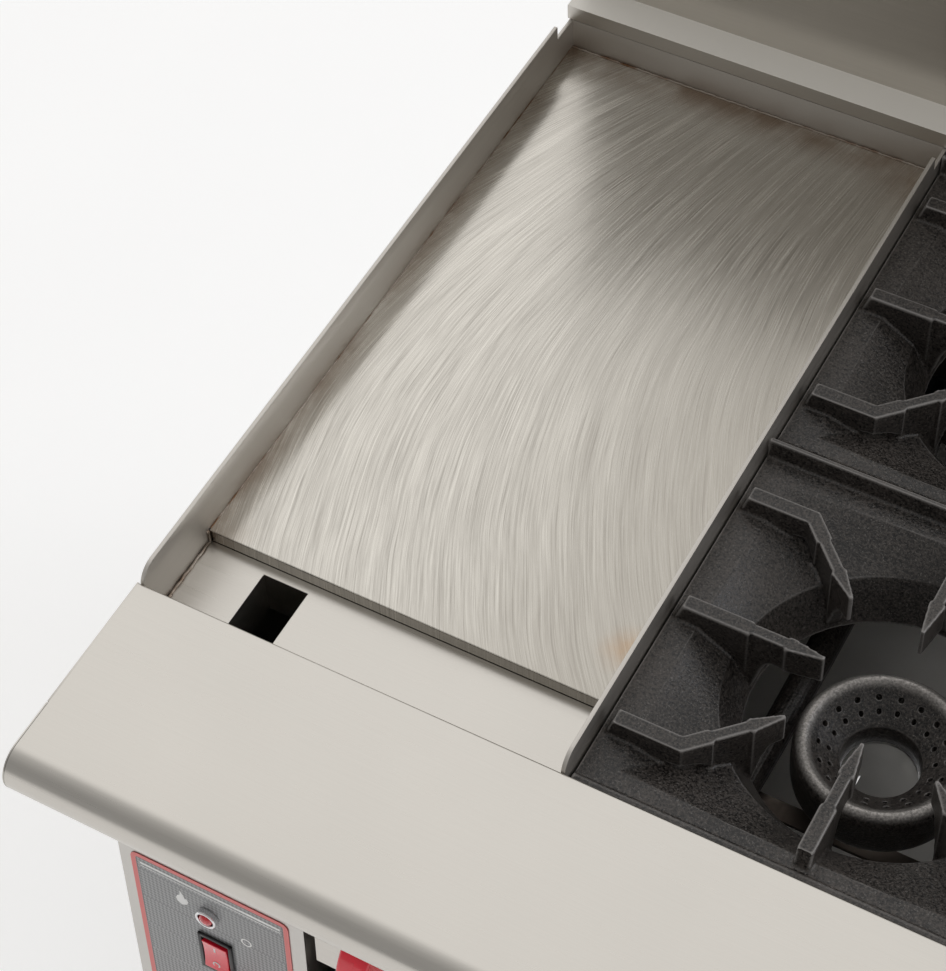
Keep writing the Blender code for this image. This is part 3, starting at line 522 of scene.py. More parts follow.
def round_edges(bm, width, segments=2):
    if not width:
        return
    bmesh.ops.recalc_face_normals(bm, faces=bm.faces)
    how = {"segments": segments, "affect": "EDGES", "profile": 0.5, "clamp_overlap": True}
    bmesh.ops.bevel(bm, geom=sharp_edges(bm, 30.0), offset=width, **how)


def merge(bm, other):
    """Adds another bmesh to the first, and frees it."""
    mesh = mesh_of("merged", other)
    bm.from_mesh(mesh)
    bpy.data.meshes.remove(mesh)


def add_tube(bm, points, radius, segments=16):
    """A round bar along a path of points, with flat ends."""
    path = [Vector(point) for point in points]
    rows = []
    side = None
    for i, point in enumerate(path):
        ahead = (path[min(i + 1, len(path) - 1)] - path[max(i - 1, 0)]).normalized()
        if side is None:
            side = ahead.orthogonal().normalized()
        side = (side - ahead * side.dot(ahead)).normalized()
        other = ahead.cross(side)
        turns = [math.tau * k / segments for k in range(segments)]
        rows.append([point + radius * (side * math.cos(t) + other * math.sin(t)) for t in turns])
    add_loft(bm, rows)


def arc(center, radius, start, end, steps):
    """Points on a circle, angles in degrees."""
    turns = [math.radians(start + (end - start) * i / steps) for i in range(steps + 1)]
    return [(center[0] + radius * math.cos(t), center[1] + radius * math.sin(t)) for t in turns]


def sheet_outline(path, thickness):
    """The outline of a folded sheet: its outside path, then the inside path back."""
    points = [Vector(point) for point in path]
    inner = []
    for i, point in enumerate(points):
        before = points[i] - points[i - 1] if i else points[1] - points[0]
        after = points[i + 1] - points[i] if i + 1 < len(points) else before
        normals = [Vector((-way.y, way.x)).normalized() for way in (before, after)]
        mitre = normals[0] + normals[1]
        inner.append(point + mitre * (2 * thickness / mitre.length_squared))
    return [tuple(point) for point in points + inner[::-1]]


def facing(location, normal):
    """A frame whose Z axis points along a normal."""
    return Matrix.Translation(location) @ Vector(normal).to_track_quat("Z", "Y").to_matrix().to_4x4()


def add_screw(bm, location, normal, radius=4.6, height=2.2):
    """A pan head screw with a cross recess."""
    shares = ((0.55, 0.92), (0.86, 0.62), (1.0, 0.2), (1.0, 0.0))
    dome = [(radius * across, height * up) for across, up in shares]
    add_turned(bm, [(0.01, height)] + dome + [(0.01, 0.0)], 24, place=facing(location, normal))


def add_cross(bm, location, normal, radius=4.6, height=2.2):
    """A painted shade for a screw's cross recess: two dark blocks in a cross on its head."""
    low, high = (-radius * 0.5, -0.45, height * 0.6), (radius * 0.5, 0.45, height * 1.03)
    for turn in (0, 90):
        spun = facing(location, normal) @ Matrix.Rotation(math.radians(turn), 4, "Z")
        add_block(bm, low, high, place=spun)


# Pieces of the deck


def nose_path():
    """The ledge's half-round nose, from its top to its underside."""
    return arc((LEDGE_FRONT + NOSE_RADIUS, LEDGE_TOP - NOSE_RADIUS), NOSE_RADIUS, 90, 270, 40)


def build_ledge(steel, dark):
    """The landing ledge's folded sheet with its smooth nose, the two end caps, and painted shade in the gap beside
    each cap.
    """
    inset = thickness = 1.5
    underside_z = LEDGE_TOP - 2 * NOSE_RADIUS
    rear_bend = arc((LEDGE_REAR - 2.0, LEDGE_TOP - 2.0), 2.0, 0, 90, 6)
    path = [(LEDGE_REAR, LEDGE_TOP - 10)] + rear_bend + nose_path() + [(-141, underside_z)]
    bm = bmesh.new()
    add_prism(bm, sheet_outline(path, thickness), "X", DECK_LEFT + inset, DECK_RIGHT - inset)
    for low in (DECK_LEFT, DECK_RIGHT - inset - 0.2):
        corner = (low, LEDGE_CAP_REAR + 0.8, 12)
        add_block(bm, corner, (low + inset + 0.2, LEDGE_REAR, LEDGE_TOP), 0.5)
    piece("ledge_sheet", bm, steel, replaces=("front_ledge",))
    outline = [(LEDGE_CAP_REAR, LEDGE_TOP)] + nose_path() + [(LEDGE_CAP_REAR, underside_z)]
    thin = inset - GAP
    ends = {"left": (DECK_LEFT, DECK_LEFT + thin), "right": (DECK_RIGHT - thin, DECK_RIGHT)}
    for side, (low, high) in ends.items():
        bm = bmesh.new()
        add_prism(bm, outline, "X", low, high, 0.35)
        piece(f"ledge_end_{side}", bm, steel, replaces=(f"ledge_cap_{side}",))
        # Painted shadow: a thin dark sheet fills the gap between the end cap and the ledge sheet, standing in for
        # the shade in it.
        bm = bmesh.new()
        seam = high + 0.02 if side == "left" else low - 0.28
        add_prism(bm, [(y, z - 0.1) for y, z in outline], "X", seam, seam + 0.26)
        piece(f"ledge_gap_shade_{side}", bm, dark)


def build_splash(steel, weld):
    """The griddle's three-sided splash with round front corners, and the weld bead at its foot."""
    front, rear = LEDGE_REAR + GAP, PLATE_DEPTH + 2 + SPLASH
    corner = arc((front + 15, SPLASH_TOP - 15), 15, 180, 90, 12)
    foot, notch = -45, 500
    side = [(front, foot)] + corner + [(notch, SPLASH_TOP), (notch, SPLASH_REAR_TOP)]
    side += [(rear, SPLASH_REAR_TOP), (rear, foot)]
    bm = bmesh.new()
    for low in (-SPLASH, PLATE_WIDTH):
        add_prism(bm, side, "X", low, low + SPLASH, 0.5)
    add_block(bm, (-SPLASH, rear - SPLASH, foot), (PLATE_WIDTH + SPLASH, rear, SPLASH_REAR_TOP), 0.5)
    piece("splash_sheet", bm, steel, replaces=("griddle_splash",))
    low, edge, seam = TROUGH_FLOOR + 0.8, PLATE_WIDTH - 0.2, PLATE_DEPTH + 1.0
    runs = (((1.0, -70, low), (1.0, -2, low), 1.15), ((0.8, -1.6, -9), (0.8, -1.6, 0.3), 1.15),
            ((edge - 0.8, -70, low), (edge - 0.8, -2, low), 1.15), ((0.2, 2, -0.7), (0.2, seam, -0.7), 0.8),
            ((edge, 2, -0.7), (edge, seam, -0.7), 0.8), ((0, seam, -0.9), (PLATE_WIDTH, seam, -0.9), 1.2))
    bm = bmesh.new()
    for start, end, radius in runs:
        steps = max(24, int((Vector(end) - Vector(start)).length / 3))
        ripple = []
        for i in range(steps + 1):
            point = Vector(start).lerp(Vector(end), i / steps)
            rise = 0.30 * math.sin(i * 2.1) + 0.17 * math.sin(i * 0.7)
            wave = Vector((0.26 * math.sin(i * 1.3), 0.0, rise))
            ripple.append(point + wave * radius * (0.87 if radius > 1 else 0.4))
        add_tube(bm, ripple, radius, 8)
    piece("splash_welds", bm, weld, crease=80)


def finger_station(x, y, nx, ny, half, low, high):
    """A four-cornered section of a grate finger."""
    left, right = (x + nx * half, y + ny * half), (x - nx * half, y - ny * half)
    return [(*left, low), (*left, high), (*right, high), (*right, low)]


def underside(radius):
    """Height of a finger's lower edge: level, then down the gusset, then along the pan's skin."""
    points = ((80, 5), (83, 2), (86, -6), (89, -18), (92.8, -30), (100, -17), (108.5, -3), (132.5, 12.5),
              (400, 12.5))
    if radius <= points[0][0]:
        return points[0][1]
    for (r0, z0), (r1, z1) in zip(points, points[1:]):
        if radius <= r1:
            return z0 + (z1 - z0) * (radius - r0) / (r1 - r0)
    return points[-1][1]


def add_straight_finger(bm, length, degrees):
    """A cardinal finger: a pointed tip, a waist and a wide root with a sloping end."""
    widths = [(46, 1.3), (71, 5.6)]
    widths += [(r, 4.0) for r in (71.01, 76, 80, 83, 86, 89, 92.8, 96)]
    widths += [(r, 5.5) for r in (96.01, 100, 108.5, 120, 132.5, length - 5)]
    rows = [finger_station(r, 0, 0, 1, half, underside(r), FINGER_TOP) for r, half in widths]
    rows.append(finger_station(length, 0, 0, 1, 5.5, 12.5, 15.0))
    spin = Matrix.Rotation(math.radians(degrees), 4, "Z")
    made = bmesh.new()
    add_loft(made, [[spin @ Vector(point) for point in row] for row in rows])
    bmesh.ops.recalc_face_normals(made, faces=made.faces)
    merge(bm, made)


def add_corner_finger(bm, x_sign, y_sign):
    """A corner finger: a bar in from the side, then a diagonal to the centre."""
    bend = 97.0
    slant = math.sqrt(0.5)
    widths = ((70, 1.3), (80, 3.0), (86, 4.0), (89, 4.5), (93, 5.6), (93.01, 4.0), (100, 4.0), (108.5, 4.0),
              (118, 4.0), (118.01, 5.5), (128, 5.4))
    rows = []
    for r, half in widths:
        rows.append(finger_station(r * slant, r * slant, -slant, slant, half, underside(r), FINGER_TOP))
    mitre = 1 / math.cos(math.radians(22.5))
    turn = math.radians(112.5)
    nx, ny = math.cos(turn) * mitre, math.sin(turn) * mitre
    rows.append(finger_station(bend, bend, nx, ny, 5.4, 12.5, FINGER_TOP))
    for x in (104.0, 120.0, 142.0):
        rows.append(finger_station(x, bend, 0, 1, 5.4, 11.0, FINGER_TOP))
    rows.append(finger_station(146.5, bend, 0, 1, 5.4, 12.5, 15.5))
    made = bmesh.new()
    add_loft(made, [[(x_sign * x, y_sign * y, z) for x, y, z in row] for row in rows])
    bmesh.ops.recalc_face_normals(made, faces=made.faces)
    merge(bm, made)


def pan_row(half_x, half_y, z, squareness, count=160):
    """A loop round the grate's centre: a circle at squareness 0, a rectangle at 1."""
    row = []
    for i in range(count):
        x, y = math.cos(math.tau * i / count), math.sin(math.tau * i / count)
        reach = 1 + (1 / max(abs(x), abs(y)) - 1) * squareness
        row.append((half_x * x * reach, half_y * y * reach, z))
    return row


def cast_grate():
    """One grate's mesh: all its shapes melted into one cast skin."""
    pan_rows = ((150.3, 146.0, 15.0, 1.0), (131.0, 127.0, 15.0, 0.9), (106.0, 106.0, -1.0, 0.0),
                (101.5, 101.5, -9.0, 0.0), (90.0, 90.0, -32.0, 0.0), (95.0, 95.0, -32.0, 0.0),
                (111.0, 111.0, -5.0, 0.0), (134.0, 130.0, 10.0, 0.9), (150.3, 146.0, 10.0, 1.0))
    bm = bmesh.new()
    add_loft(bm, [pan_row(*row) for row in pan_rows], closed=True)
    bmesh.ops.recalc_face_normals(bm, faces=bm.faces)
    add_prism(bm, [(141, 12), (145.7, 12), (145.7, 29.9), (142, 29.9)], "X", -150.2, 150.2)
    add_block(bm, (-150.2, -145.9, 11), (150.2, -138.0, 17.0))
    for quarter, length in enumerate((147.0, 143.5, 147.0, 134.0)):
        add_straight_finger(bm, length, 90 * quarter)
    for x_sign in (-1, 1):
        for y_sign in (-1, 1):
            add_corner_finger(bm, x_sign, y_sign)
    bmesh.ops.recalc_face_normals(bm, faces=bm.faces)
    bmesh.ops.scale(bm, vec=(MM, MM, MM), verts=bm.verts)
    helper = add_object("grate_helper", mesh_of("grate_shape", bm))
    skin = helper.modifiers.new("skin", "REMESH")
    skin.mode = "VOXEL"
    skin.voxel_size = 1.15 * MM
    soft = helper.modifiers.new("soft", "SMOOTH")
    soft.factor, soft.iterations = 0.5, 1
    bpy.context.view_layer.update()
    made = bpy.data.meshes.new_from_object(helper.evaluated_get(bpy.context.evaluated_depsgraph_get()))
    bpy.data.objects.remove(helper)
    made.shade_smooth()
    return made


def grate_home(where):
    x, y = GRATE_PLACES[where]
    return DECK @ Matrix.Translation((x * MM, y * MM, 0))


def build_grates(iron):
    """Four grates that share one mesh."""
    mesh = cast_grate()
    mesh.materials.clear()
    mesh.materials.append(iron)
    for where in GRATE_NAMES:
        made = add_object(f"cast_grate_{where}", mesh)
        made.matrix_world = grate_home(where)
        settle(made, f"grate_{where}", (f"grate_{where}",))


def add_port_ring(bm):
    """The burner ring. Two rows of ports are pressed into its inner cone."""
    profile = [(26.0, -75.0), (26.0, -57.6), (27.0, -56.6), (32.2, -52.2), (35.9, -49.0), (39.3, -46.1),
               (42.9, -43.0), (47.4, -38.6), (50.0, -36.4), (52.4, -36.4), (55.6, -38.4), (57.8, -42.4),
               (58.3, -47.0), (58.3, -71.0), (56.5, -75.0), (50.0, -79.6), (27.2, -76.2)]
    ports_round, port_radii, port_depth = 18, (34.0, 41.0), 6.0
    segments = 3 * ports_round
    add_turned(bm, profile, segments, closed=True)
    bmesh.ops.recalc_face_normals(bm, faces=bm.faces)
    ports = []
    for face in bm.faces:
        middle = face.calc_center_median()
        reach = math.hypot(middle.x, middle.y)
        segment = int(math.degrees(math.atan2(middle.y, middle.x)) % 360 * segments / 360)
        on_cone = middle.z > -52 and any(abs(reach - radius) < 0.5 for radius in port_radii)
        if on_cone and segment % 3 == 2:
            ports.append(face)
    for thickness in (0.5, 0.12):
        bmesh.ops.inset_individual(bm, faces=ports, thickness=thickness)
    for face in ports:
        sink = face.normal * port_depth
        for vert in face.verts:
            vert.co -= sink


def build_burners(iron, chrome, copper, pilot_white):
    """The four ring burners with their side arms, venturi tubes, pilots and bright bored rims."""
    for where, (_, y) in GRATE_PLACES.items():
        home = grate_home(where)
        side = 1 if where.startswith("front") else -1
        bm = bmesh.new()
        add_port_ring(bm)
        arm = sorted((side * 48, side * 88))
        add_block(bm, (arm[0], -10, -90), (arm[1], 10, -70), 3.0)
        front = -85.0 - y
        add_tube(bm, [(side * 76, front, -88), (side * 76, 12, -88)], 11.9, 24)
        made = piece(f"ring_burner_{where}", bm, iron, place=home, crease=60,
                     replaces=(f"burner_{where}",))
        rounding = made.modifiers.new("rounding", "SUBSURF")
        rounding.levels = rounding.render_levels = 2
        bm = bmesh.new()
        add_turned(bm, [(25.2, -75.4), (25.2, -73.0), (25.9, -73.0), (25.9, -75.4)], 72, closed=True)
        piece(f"burner_rim_{where}", bm, chrome, place=home)
        add_pilot(where, home, copper, pilot_white, chrome)


def add_pilot(where, home, copper, white, chrome):
    """A small pilot head on a bracket inside the ring, with its copper gas tube."""
    bm = bmesh.new()
    add_block(bm, (-15.0, -29.6, -76), (-6.0, -28.4, -50), 0.3)
    add_block(bm, (-15.0, -29.6, -51.2), (-6.0, -20.0, -50), 0.3)
    piece(f"pilot_bracket_{where}", bm, chrome, place=home)
    x, y = -10.5, -24.5
    head = [(0.01, -45.5), (2.6, -45.5), (3.1, -47), (3.1, -58), (2.2, -60), (0.01, -60)]
    bm = bmesh.new()
    add_turned(bm, head, 24, place=Matrix.Translation((x, y, 0)))
    piece(f"pilot_head_{where}", bm, white, place=home)
    bm = bmesh.new()
    drop = [(x, y, -60), (x, y, -74)] + [(x - 0.5 * k * k, y - 5 * k, -78 - 3 * k) for k in range(1, 5)]
    add_tube(bm, drop, 1.6, 12)
    piece(f"pilot_tube_{where}", bm, copper, place=home)


# The controls


def knob_home(joint):
    """The frame of a knob: its joint's place, with -Y pointing out of the fascia."""
    return Matrix.Translation(Vector(JOINTS[joint]["pos_m"])) @ FASCIA_TURN


def add_knob(name, joint, body, node_name, radius, grip_half, grip_width, reach, red):
    """A moulded knob: a dished skirt, a crowned grip bar and a raised index line of the same plastic."""
    home = knob_home(joint)
    bm = bmesh.new()
    skirt = [(0.01, -5.0), (radius - 1.2, -5.0), (radius, -4.0), (radius, -0.6), (radius - 0.8, 0.4)]
    skirt += [(radius - 3, 2.6), (radius - 6, 4.6), (radius - 10, 5.8), (0.01, 6.2)]
    add_turned(bm, skirt, 72, place=FORWARD)
    rise = 11
    crown_radius = (grip_half ** 2 + rise ** 2) / (2 * rise)
    spread_angle = math.degrees(math.asin(grip_half / crown_radius))
    face = reach - 6.0
    crown = arc((-face + crown_radius, 0), crown_radius, 180 - spread_angle, 180 + spread_angle, 14)
    outline = [(-3, grip_half - 3)] + crown + [(-3, -grip_half + 3)]
    add_prism(bm, outline, "X", -grip_width / 2, grip_width / 2, 2.2, 4)
    piece(name, bm, red, body=body, place=home, crease=50, replaces=(node_name,))
    bm = bmesh.new()
    inner = arc((-face + crown_radius + 0.12, 0), crown_radius, 186, 180 + spread_angle - 8, 8)
    mark = inner + [(y + 1.2, z) for y, z in inner[::-1]]
    add_prism(bm, [(y - 0.22, -z) for y, z in mark], "X", -1.1, 1.1)
    piece(name + "_index", bm, red, body=body, place=home)


def build_knobs(red):
    for name in ["griddle_knob"] + [f"burner_knob_{i}" for i in range(1, 5)]:
        add_knob("grip_" + name, name + "_turn", name, name, 31, 31, 22, 46, red)
    add_knob("grip_thermostat", "thermostat_turn", "thermostat_knob", "thermostat_knob", 25, 22, 12, 28, red)


def fascia_home(where):
    """A place on the fascia, from its X and Z in millimetres."""
    return FASCIA @ Matrix.Translation((where[0] * MM, 0, where[1] * MM))


def build_lamp(chrome, lens):
    """The indicator lamp: a rolled chrome bezel round a domed lens."""
    home = fascia_home(LAMP_XZ) @ FORWARD
    bm = bmesh.new()
    roll = [(7.4 + x, 4.8 + z) for x, z in arc((0, 0), 1.1, 0, 180, 9)]
    rim = [(6.3, 1.0), (8.5, 1.0), (8.5, 3.6)] + roll + [(6.3, 3.2)]
    add_turned(bm, rim, 64, closed=True)
    piece("lamp_bezel", bm, chrome, place=home, replaces=("indicator_bezel",))
    bm = bmesh.new()
    dome = [(0.01, 7.5)] + [(5.6 * x, 3.3 + 4.2 * z) for x, z in arc((0, 0), 1.0, 78, 0, 6)]
    add_turned(bm, dome + [(5.4, -11.0), (0.01, -11.0)], 48)
    piece("lamp_dome", bm, lens, place=home, replaces=("indicator_lens",))


def build_rocker(dark, red, white):
    """The rocker switch: a rounded frame and a rocker with a curved face."""
    place = fascia_home(ROCKER_XZ)
    bm = bmesh.new()
    flange, sleeve = (11, 14, 19, 22, -3.0, -1.0), (10.8, 12.1, 18.7, 20.1, -1.2, 17.5)
    for x_in, x_out, z_in, z_out, front, rear in (flange, sleeve):
        add_block(bm, (-x_out, front, -z_out), (-x_in, rear, z_out), 0.45)
        add_block(bm, (x_in, front, -z_out), (x_out, rear, z_out), 0.45)
        add_block(bm, (-x_out, front, z_in), (x_out, rear, z_out), 0.45)
        add_block(bm, (-x_out, front, -z_out), (x_out, rear, -z_in), 0.45)
    add_block(bm, (-12.1, 16.4, -20.1), (12.1, 17.9, 20.1), 0.45)
    piece("rocker_frame", bm, dark, place=place, replaces=("rocker_bezel",))
    bm = bmesh.new()
    half = 16.6
    heights = [half - 2 * half * i / 16 for i in range(17)]
    face = [(-4.5 + 0.0047 * (half ** 2 - z * z), z) for z in heights]
    add_prism(bm, face + [(4, -14.5), (7, 0), (4, 14.5)], "X", -10.0, 10.0, 0.7, 3)
    piece("rocker_face", bm, red, body="rocker_button", place=place, crease=50,
          replaces=("rocker_button",))
    bm = bmesh.new()
    add_block(bm, (-0.7, -3.9, 7.0), (0.7, -3.2, 12.5))
    ring = [(2.1, 0.0), (3.1, 0.0), (3.1, 0.5), (2.1, 0.5)]
    add_turned(bm, ring, 32, closed=True, place=Matrix.Translation((0, -3.35, -9.8)) @ FORWARD)
    piece("rocker_marks", bm, white, body="rocker_button", place=place)


def rectangle(left, low, right, high):
    return [(left, low), (right, low), (right, high), (left, high)]


def build_label_marks(white):
    """Generic printed marks: two rules, a flame, a ring, a bar and ticks round the dial."""
    bm = bmesh.new()
    face, skin = -0.7, 0.12

    def printed(points):
        add_prism(bm, points, "Y", face - skin, face)

    printed(rectangle(13, -197.2, 127, -195.0))
    printed(rectangle(13, -200.2, 127, -199.4))
    flame = [(0, -9), (4.2, -6.5), (5.6, -2.5), (4.0, 1.5), (3.2, -0.8), (2.0, 3.5), (-0.6, 8.5), (-0.9, 3.0)]
    flame += [(-3.2, 0.8), (-4.6, -3.0), (-3.6, -6.8)]
    printed([(45 + x, -217 + z) for x, z in flame])
    circles = [arc((97, -236), radius, 0, 360, 32)[:-1] for radius in (4.4, 3.2)]
    loops = [[(x, face - skin, z) for x, z in circle] for circle in circles]
    loops += [[(x, face, z) for x, z in circle] for circle in circles[::-1]]
    add_loft(bm, loops, closed=True)
    printed(rectangle(93, -303.7, 101, -302.3))
    for step in range(11):
        turn = math.radians(225 - 27 * step)
        x, z = math.cos(turn), math.sin(turn)
        far = 35.5 if step % 5 == 0 else 33.0
        corners = rectangle(29.5, -0.6, far, 0.6)
        printed([(DIAL_XZ[0] + r * x - w * z, DIAL_XZ[1] + r * z + w * x) for r, w in corners])
    piece("label_marks", bm, white, place=FASCIA)


# The body


def build_handle(steel):
    """The door's bar handle with domed ends and turned posts."""
    low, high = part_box("door_handle")
    radius = (high.z - low.z) / 2 / MM
    y, z = low.y / MM + radius, low.z / MM + radius
    left, right = low.x / MM, high.x / MM
    rows = []
    for degrees in range(90, -1, -15):
        turn = math.radians(degrees)
        rows.append((left + radius * 0.35 * (1 - math.sin(turn)), radius * math.cos(turn)))
    rows += [(right - (x - left), r) for x, r in rows[::-1]]
    bm = bmesh.new()
    lay = Matrix.Translation((0, y, z)) @ Matrix.Rotation(math.radians(90), 4, "Y")
    add_turned(bm, [(max(r, 0.01), x) for x, r in rows], 40, place=lay)
    door_face = -369.3
    reach = door_face - y
    post = [(0.01, 0), (14, 0), (14, 3), (9.6, 5.5), (8.6, 9), (8.6, reach), (0.01, reach)]
    for x in (-200.0, 360.0):
        add_turned(bm, post, 32, place=Matrix.Translation((x, door_face, z)) @ FORWARD)
    piece("bar_handle", bm, steel, body="oven_door", place=ROOM, replaces=("door_handle",))


def build_door_trim(dark):
    """The door's gasket round its liner."""
    low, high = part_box("door_liner")
    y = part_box("oven_door")[1].y / MM + 3.3
    outline = rectangle(low.x / MM + 22, low.z / MM + 14, high.x / MM - 22, high.z / MM - 22)
    corners = [(x, y, z) for x, z in outline]
    bm = bmesh.new()
    add_tube(bm, corners + corners[:1], 2.2, 12)
    piece("door_gasket", bm, dark, body="oven_door", place=ROOM, crease=80)


def build_legs(steel):
    """The four legs: a flange plate, a tapered tube and a foot that screws in and out."""
    for where in GRATE_NAMES:
        low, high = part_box("leg_" + where)
        x, y = (low.x + high.x) / 2 / MM, (low.y + high.y) / 2 / MM
        top = high.z / MM
        bm = bmesh.new()
        foot = [(0.01, 0), (13, 0), (15, 1.2), (18.2, 7), (19, 9.5), (19, 29), (18, 31), (21.4, 33.2)]
        foot += [(22.4, 35.5), (26.6, 126), (27, 130), (27, top - 4.5), (0.01, top - 4.5)]
        add_turned(bm, foot, 56, place=Matrix.Translation((x, y, 0)))
        add_block(bm, (x - 45, y - 45, top - 5), (x + 45, y + 45, top), 0.8)
        for dx in (-35, 35):
            for dy in (-35, 35):
                add_screw(bm, (x + dx, y + dy, top - 5), (0, 0, -1), 6.0, 3.4)
        piece(f"tapered_leg_{where}", bm, steel, place=ROOM, replaces=("leg_" + where,))


def build_racks(wire):
    """The oven racks in round wire: a frame with round corners, thin bars and two cross bars."""
    for level in ("lower", "upper"):
        low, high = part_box("oven_rack_" + level)
        z = (low.z + high.z) / 2 / MM
        wire_radius, corner = 3.0, 8.0
        left, right = low.x / MM + wire_radius, high.x / MM - wire_radius
        front, rear = low.y / MM + wire_radius, high.y / MM - wire_radius
        bm = bmesh.new()
        centers = rectangle(left + corner, front + corner, right - corner, rear - corner)
        ring = []
        for quarter, center in enumerate(centers[2:] + centers[:2]):
            ring += arc(center, corner, 90 * quarter, 90 * quarter + 90, 5)
        add_tube(bm, [(x, y, z) for x, y in ring + ring[:1]], wire_radius, 10)
        for i in range(1, 18):
            x = left + (right - left) * i / 18
            add_tube(bm, [(x, front, z), (x, rear, z)], 1.9, 8)
        for share in (0.33, 0.67):
            y = front + (rear - front) * share
            add_tube(bm, [(left, y, z), (right, y, z)], 2.6, 8)
        piece(f"wire_rack_{level}", bm, wire, place=ROOM, crease=80,
              replaces=("oven_rack_" + level,))


def build_screws(chrome, dark):
    """Screws in the side panels, back panel and back guard, sunk so that they hardly pass the CAD box."""
    low, high = cad_bounds[0] / MM, cad_bounds[1] / MM
    heads = []
    for z in (200, 520, 850):
        for y in (-280, 60, 400):
            heads += [((low.x, y, z), (-1, 0, 0)), ((high.x, y, z), (1, 0, 0))]
    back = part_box("back_panel")[1].y / MM
    for x in (-430, -150, 150, 430):
        for z in (190, 540, 870):
            heads.append(((x, back, z), (0, 1, 0)))
    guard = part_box("back_guard")[1].y / MM
    for x in (-420, -140, 140, 420):
        heads.append(((x, guard, 1165), (0, 1, 0)))
    inset = 2.15
    bm, recess_shades = bmesh.new(), bmesh.new()
    for place, way in heads:
        tucked = Vector(place) - Vector(way) * inset
        add_screw(bm, tucked, way)
        add_cross(recess_shades, tucked, way)
    piece("body_screws", bm, chrome, place=ROOM)
    # Painted shade: dark crosses on the screw heads stand in for their shaded recesses.
    piece("body_screw_recess_shade", recess_shades, dark, place=ROOM)


# CAD nodes that stay


def soften(obj, width):
    """Rounds a CAD node's edges a little, once its flat faces are whole, as a folded or machined edge is."""
    weld = obj.modifiers.new("weld", "WELD")
    weld.merge_threshold = 0.00001
    flat = obj.modifiers.new("flat", "DECIMATE")
    flat.decimate_type = "DISSOLVE"
    flat.angle_limit = math.radians(0.5)
    edge = obj.modifiers.new("edge", "BEVEL")
    edge.width = width * MM
    edge.segments = 2
    edge.limit_method = "ANGLE"
    edge.angle_limit = math.radians(40)


def dress_nodes(looks, special):
    """Gives each CAD node its own or its slot's material. Sheet and plate get rounded edges."""
    slots = {part["node"]: part["material_slot"] for part in frame["record"]["subparts"]}
    for name, obj in frame["nodes"].items():
        slot = slots[name]
        obj.data.materials.clear()
        obj.data.materials.append(special.get(name, looks[slot]))
        if slot in ("stainless", "galvanised", "enamel", "tray_steel", "griddle_steel"):
            soften(obj, 0.8 if name == "griddle_plate" else 0.4)


# The stage


def build_stage():
    """A plain floor, wide enough to reach the horizon."""
    bm = bmesh.new()
    half = 40000.0
    corners = rectangle(-half, -half, half, half)
    bm.faces.new([bm.verts.new((x * MM, y * MM, 0.0)) for x, y in corners])
    mesh = mesh_of("floor", bm)
    mesh.materials.append(plain_floor())
    add_object("floor", mesh)


def build_camera():
    """The photograph's viewpoint: above the front right, looking down at the left of the deck."""
    right = Vector((0.8747, 0.4831, -0.0377)).normalized()
    up = Vector((-0.3622, 0.7037, 0.6113))
    up = (up - right * up.dot(right)).normalized()
    back = right.cross(up)
    camera = add_object("camera", bpy.data.cameras.new("camera"))
    turn = Matrix((right, up, back)).transposed().to_4x4()
    camera.matrix_world = Matrix.Translation((0.2559, -1.0119, 2.3094)) @ turn
    camera.data.lens = 97.69
    camera.data.sensor_width = 36.0
    camera.data.clip_start, camera.data.clip_end = 0.05, 60.0
    bpy.context.scene.camera = camera


def add_light(name, location, target, size, power, color=(1.0, 1.0, 1.0)):
    """A soft rectangular light that faces a target."""
    data = bpy.data.lights.new(name, "AREA")
    data.shape = "RECTANGLE"
    data.size, data.size_y = size
    data.energy = power
    data.color = color
    add_object(name, data).matrix_world = facing(location, Vector(location) - Vector(target))


def build_light():
    """A bright soft room: pale from above and behind, greyer at the front."""
    world = bpy.data.worlds.new("studio")
    world.use_nodes = True
    tree = world.node_tree
    _, y, z = split_of(tree, node(tree, "TexCoord", out=0))
    rise = spread(tree, z, -0.1, 0.9, 0.72, 0.84)
    behind = spread(tree, y, -0.7, 0.4, 0.46, 1.0, True)
    level = math_node(tree, "MULTIPLY", rise, behind)
    background = tree.nodes["Background"]
    background.inputs["Color"].default_value = (1.0, 0.99, 0.975, 1.0)
    tree.links.new(level, background.inputs["Strength"])
    bpy.context.scene.world = world
    add_light("key", (-1.6, 1.4, 3.4), (0, 0, 0.9), (3.2, 3.2), 9)
    add_light("fill", (2.4, -1.6, 2.6), (0, 0, 0.8), (2.6, 2.6), 4)
    add_light("side", (1.75, 1.15, 1.95), (0.0, -0.1, 0.9), (0.9, 0.9), 9, (0.86, 0.91, 1.0))


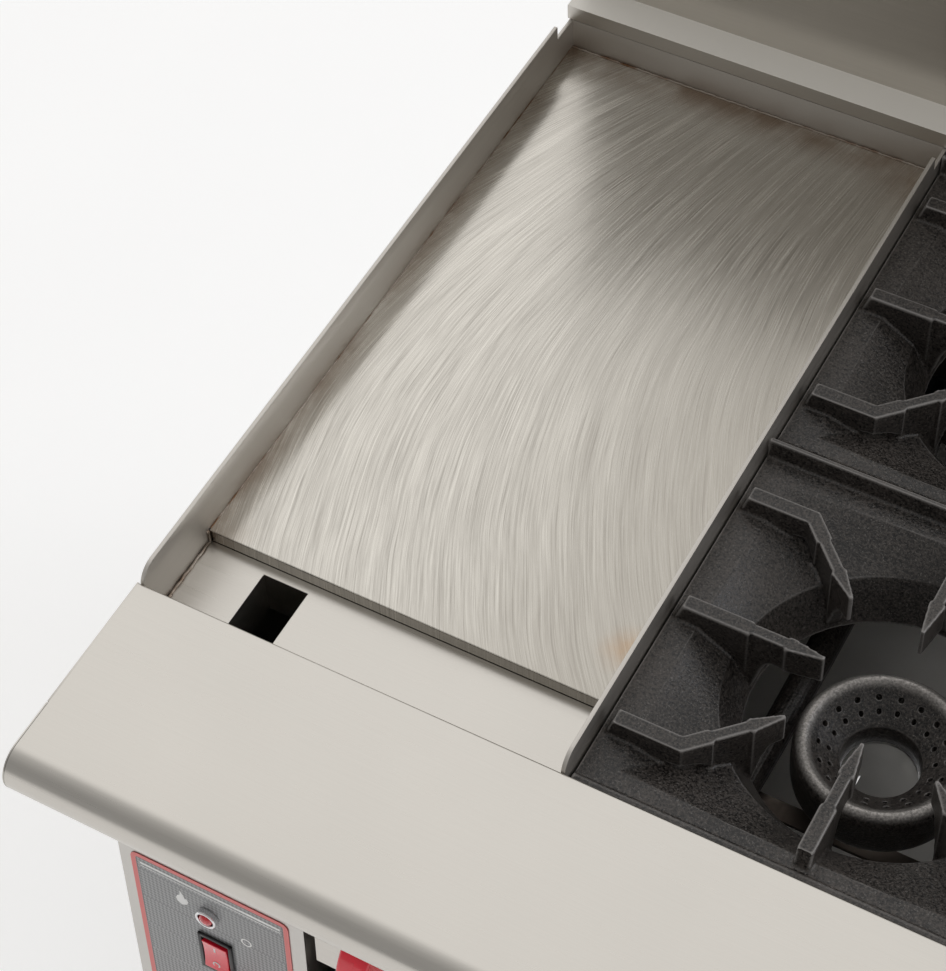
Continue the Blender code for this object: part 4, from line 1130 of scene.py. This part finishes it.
def main():
    steel_x = brushed("brushed_x", "X")
    steel_y = brushed("brushed_y", "Y", color=(0.62, 0.59, 0.55), rough=0.48, anisotropic=0.25)
    steel_z = brushed("brushed_z", "Z", color=(0.60, 0.58, 0.55), rough=0.32)
    iron = cast_iron()
    ring_iron = cast_iron("burner_coat", worn_above=DECK.translation.z - 0.041)
    chrome = satin_metal("bright_chrome", (0.72, 0.72, 0.73), (0.84, 0.84, 0.85), 0.08)
    wire = satin_metal("plated_wire", (0.55, 0.55, 0.56), (0.72, 0.72, 0.73), 0.16)
    tray = satin_metal("tray_satin", (0.72, 0.70, 0.66), (0.80, 0.78, 0.74), 0.38, 25.0, 0.45)
    sooted = satin_metal("sooted_sheet", (0.06, 0.048, 0.040), (0.12, 0.100, 0.085), 0.42, 60.0)
    brass = satin_metal("brass_body", (0.52, 0.36, 0.14), (0.68, 0.50, 0.22), 0.26)
    copper = satin_metal("copper_tube", (0.55, 0.27, 0.14), (0.74, 0.40, 0.24), 0.22)
    red = moulded("glossy_red", (0.74, 0.009, 0.030), 0.16, 0.6)
    dark = moulded("black_plastic", (0.014, 0.014, 0.015), 0.36)
    white = moulded("white_print", (0.74, 0.74, 0.73), 0.42)
    looks = {
        "stainless": steel_x, "griddle_steel": ground_plate(), "galvanised": galvanised(),
        "tray_steel": tray, "cast_iron": iron, "enamel": enamel(), "chrome_wire": wire, "brass": brass,
        "chrome": chrome, "label": overlay_print(), "red_lens": lens_red(), "dark_plastic": dark,
        "red_plastic": red,
    }
    upright = ("left_side_panel", "right_side_panel", "lower_access_panel", "control_panel")
    special = dict.fromkeys(upright, steel_z)
    special.update(burner_box=sooted, back_guard=guard_sheet())
    dress_nodes(looks, special)
    build_ledge(steel_x, dark)
    build_splash(steel_y, weld_metal())
    build_grates(iron)
    build_burners(ring_iron, chrome, copper, white)
    build_knobs(red)
    build_lamp(chrome, looks["red_lens"])
    build_rocker(dark, red, white)
    build_label_marks(white)
    build_handle(steel_x)
    build_door_trim(dark)
    build_legs(steel_z)
    build_racks(wire)
    build_screws(chrome, dark)
    build_stage()
    build_camera()
    build_light()
    bpy.context.scene.view_settings.view_transform = "Standard"


main()
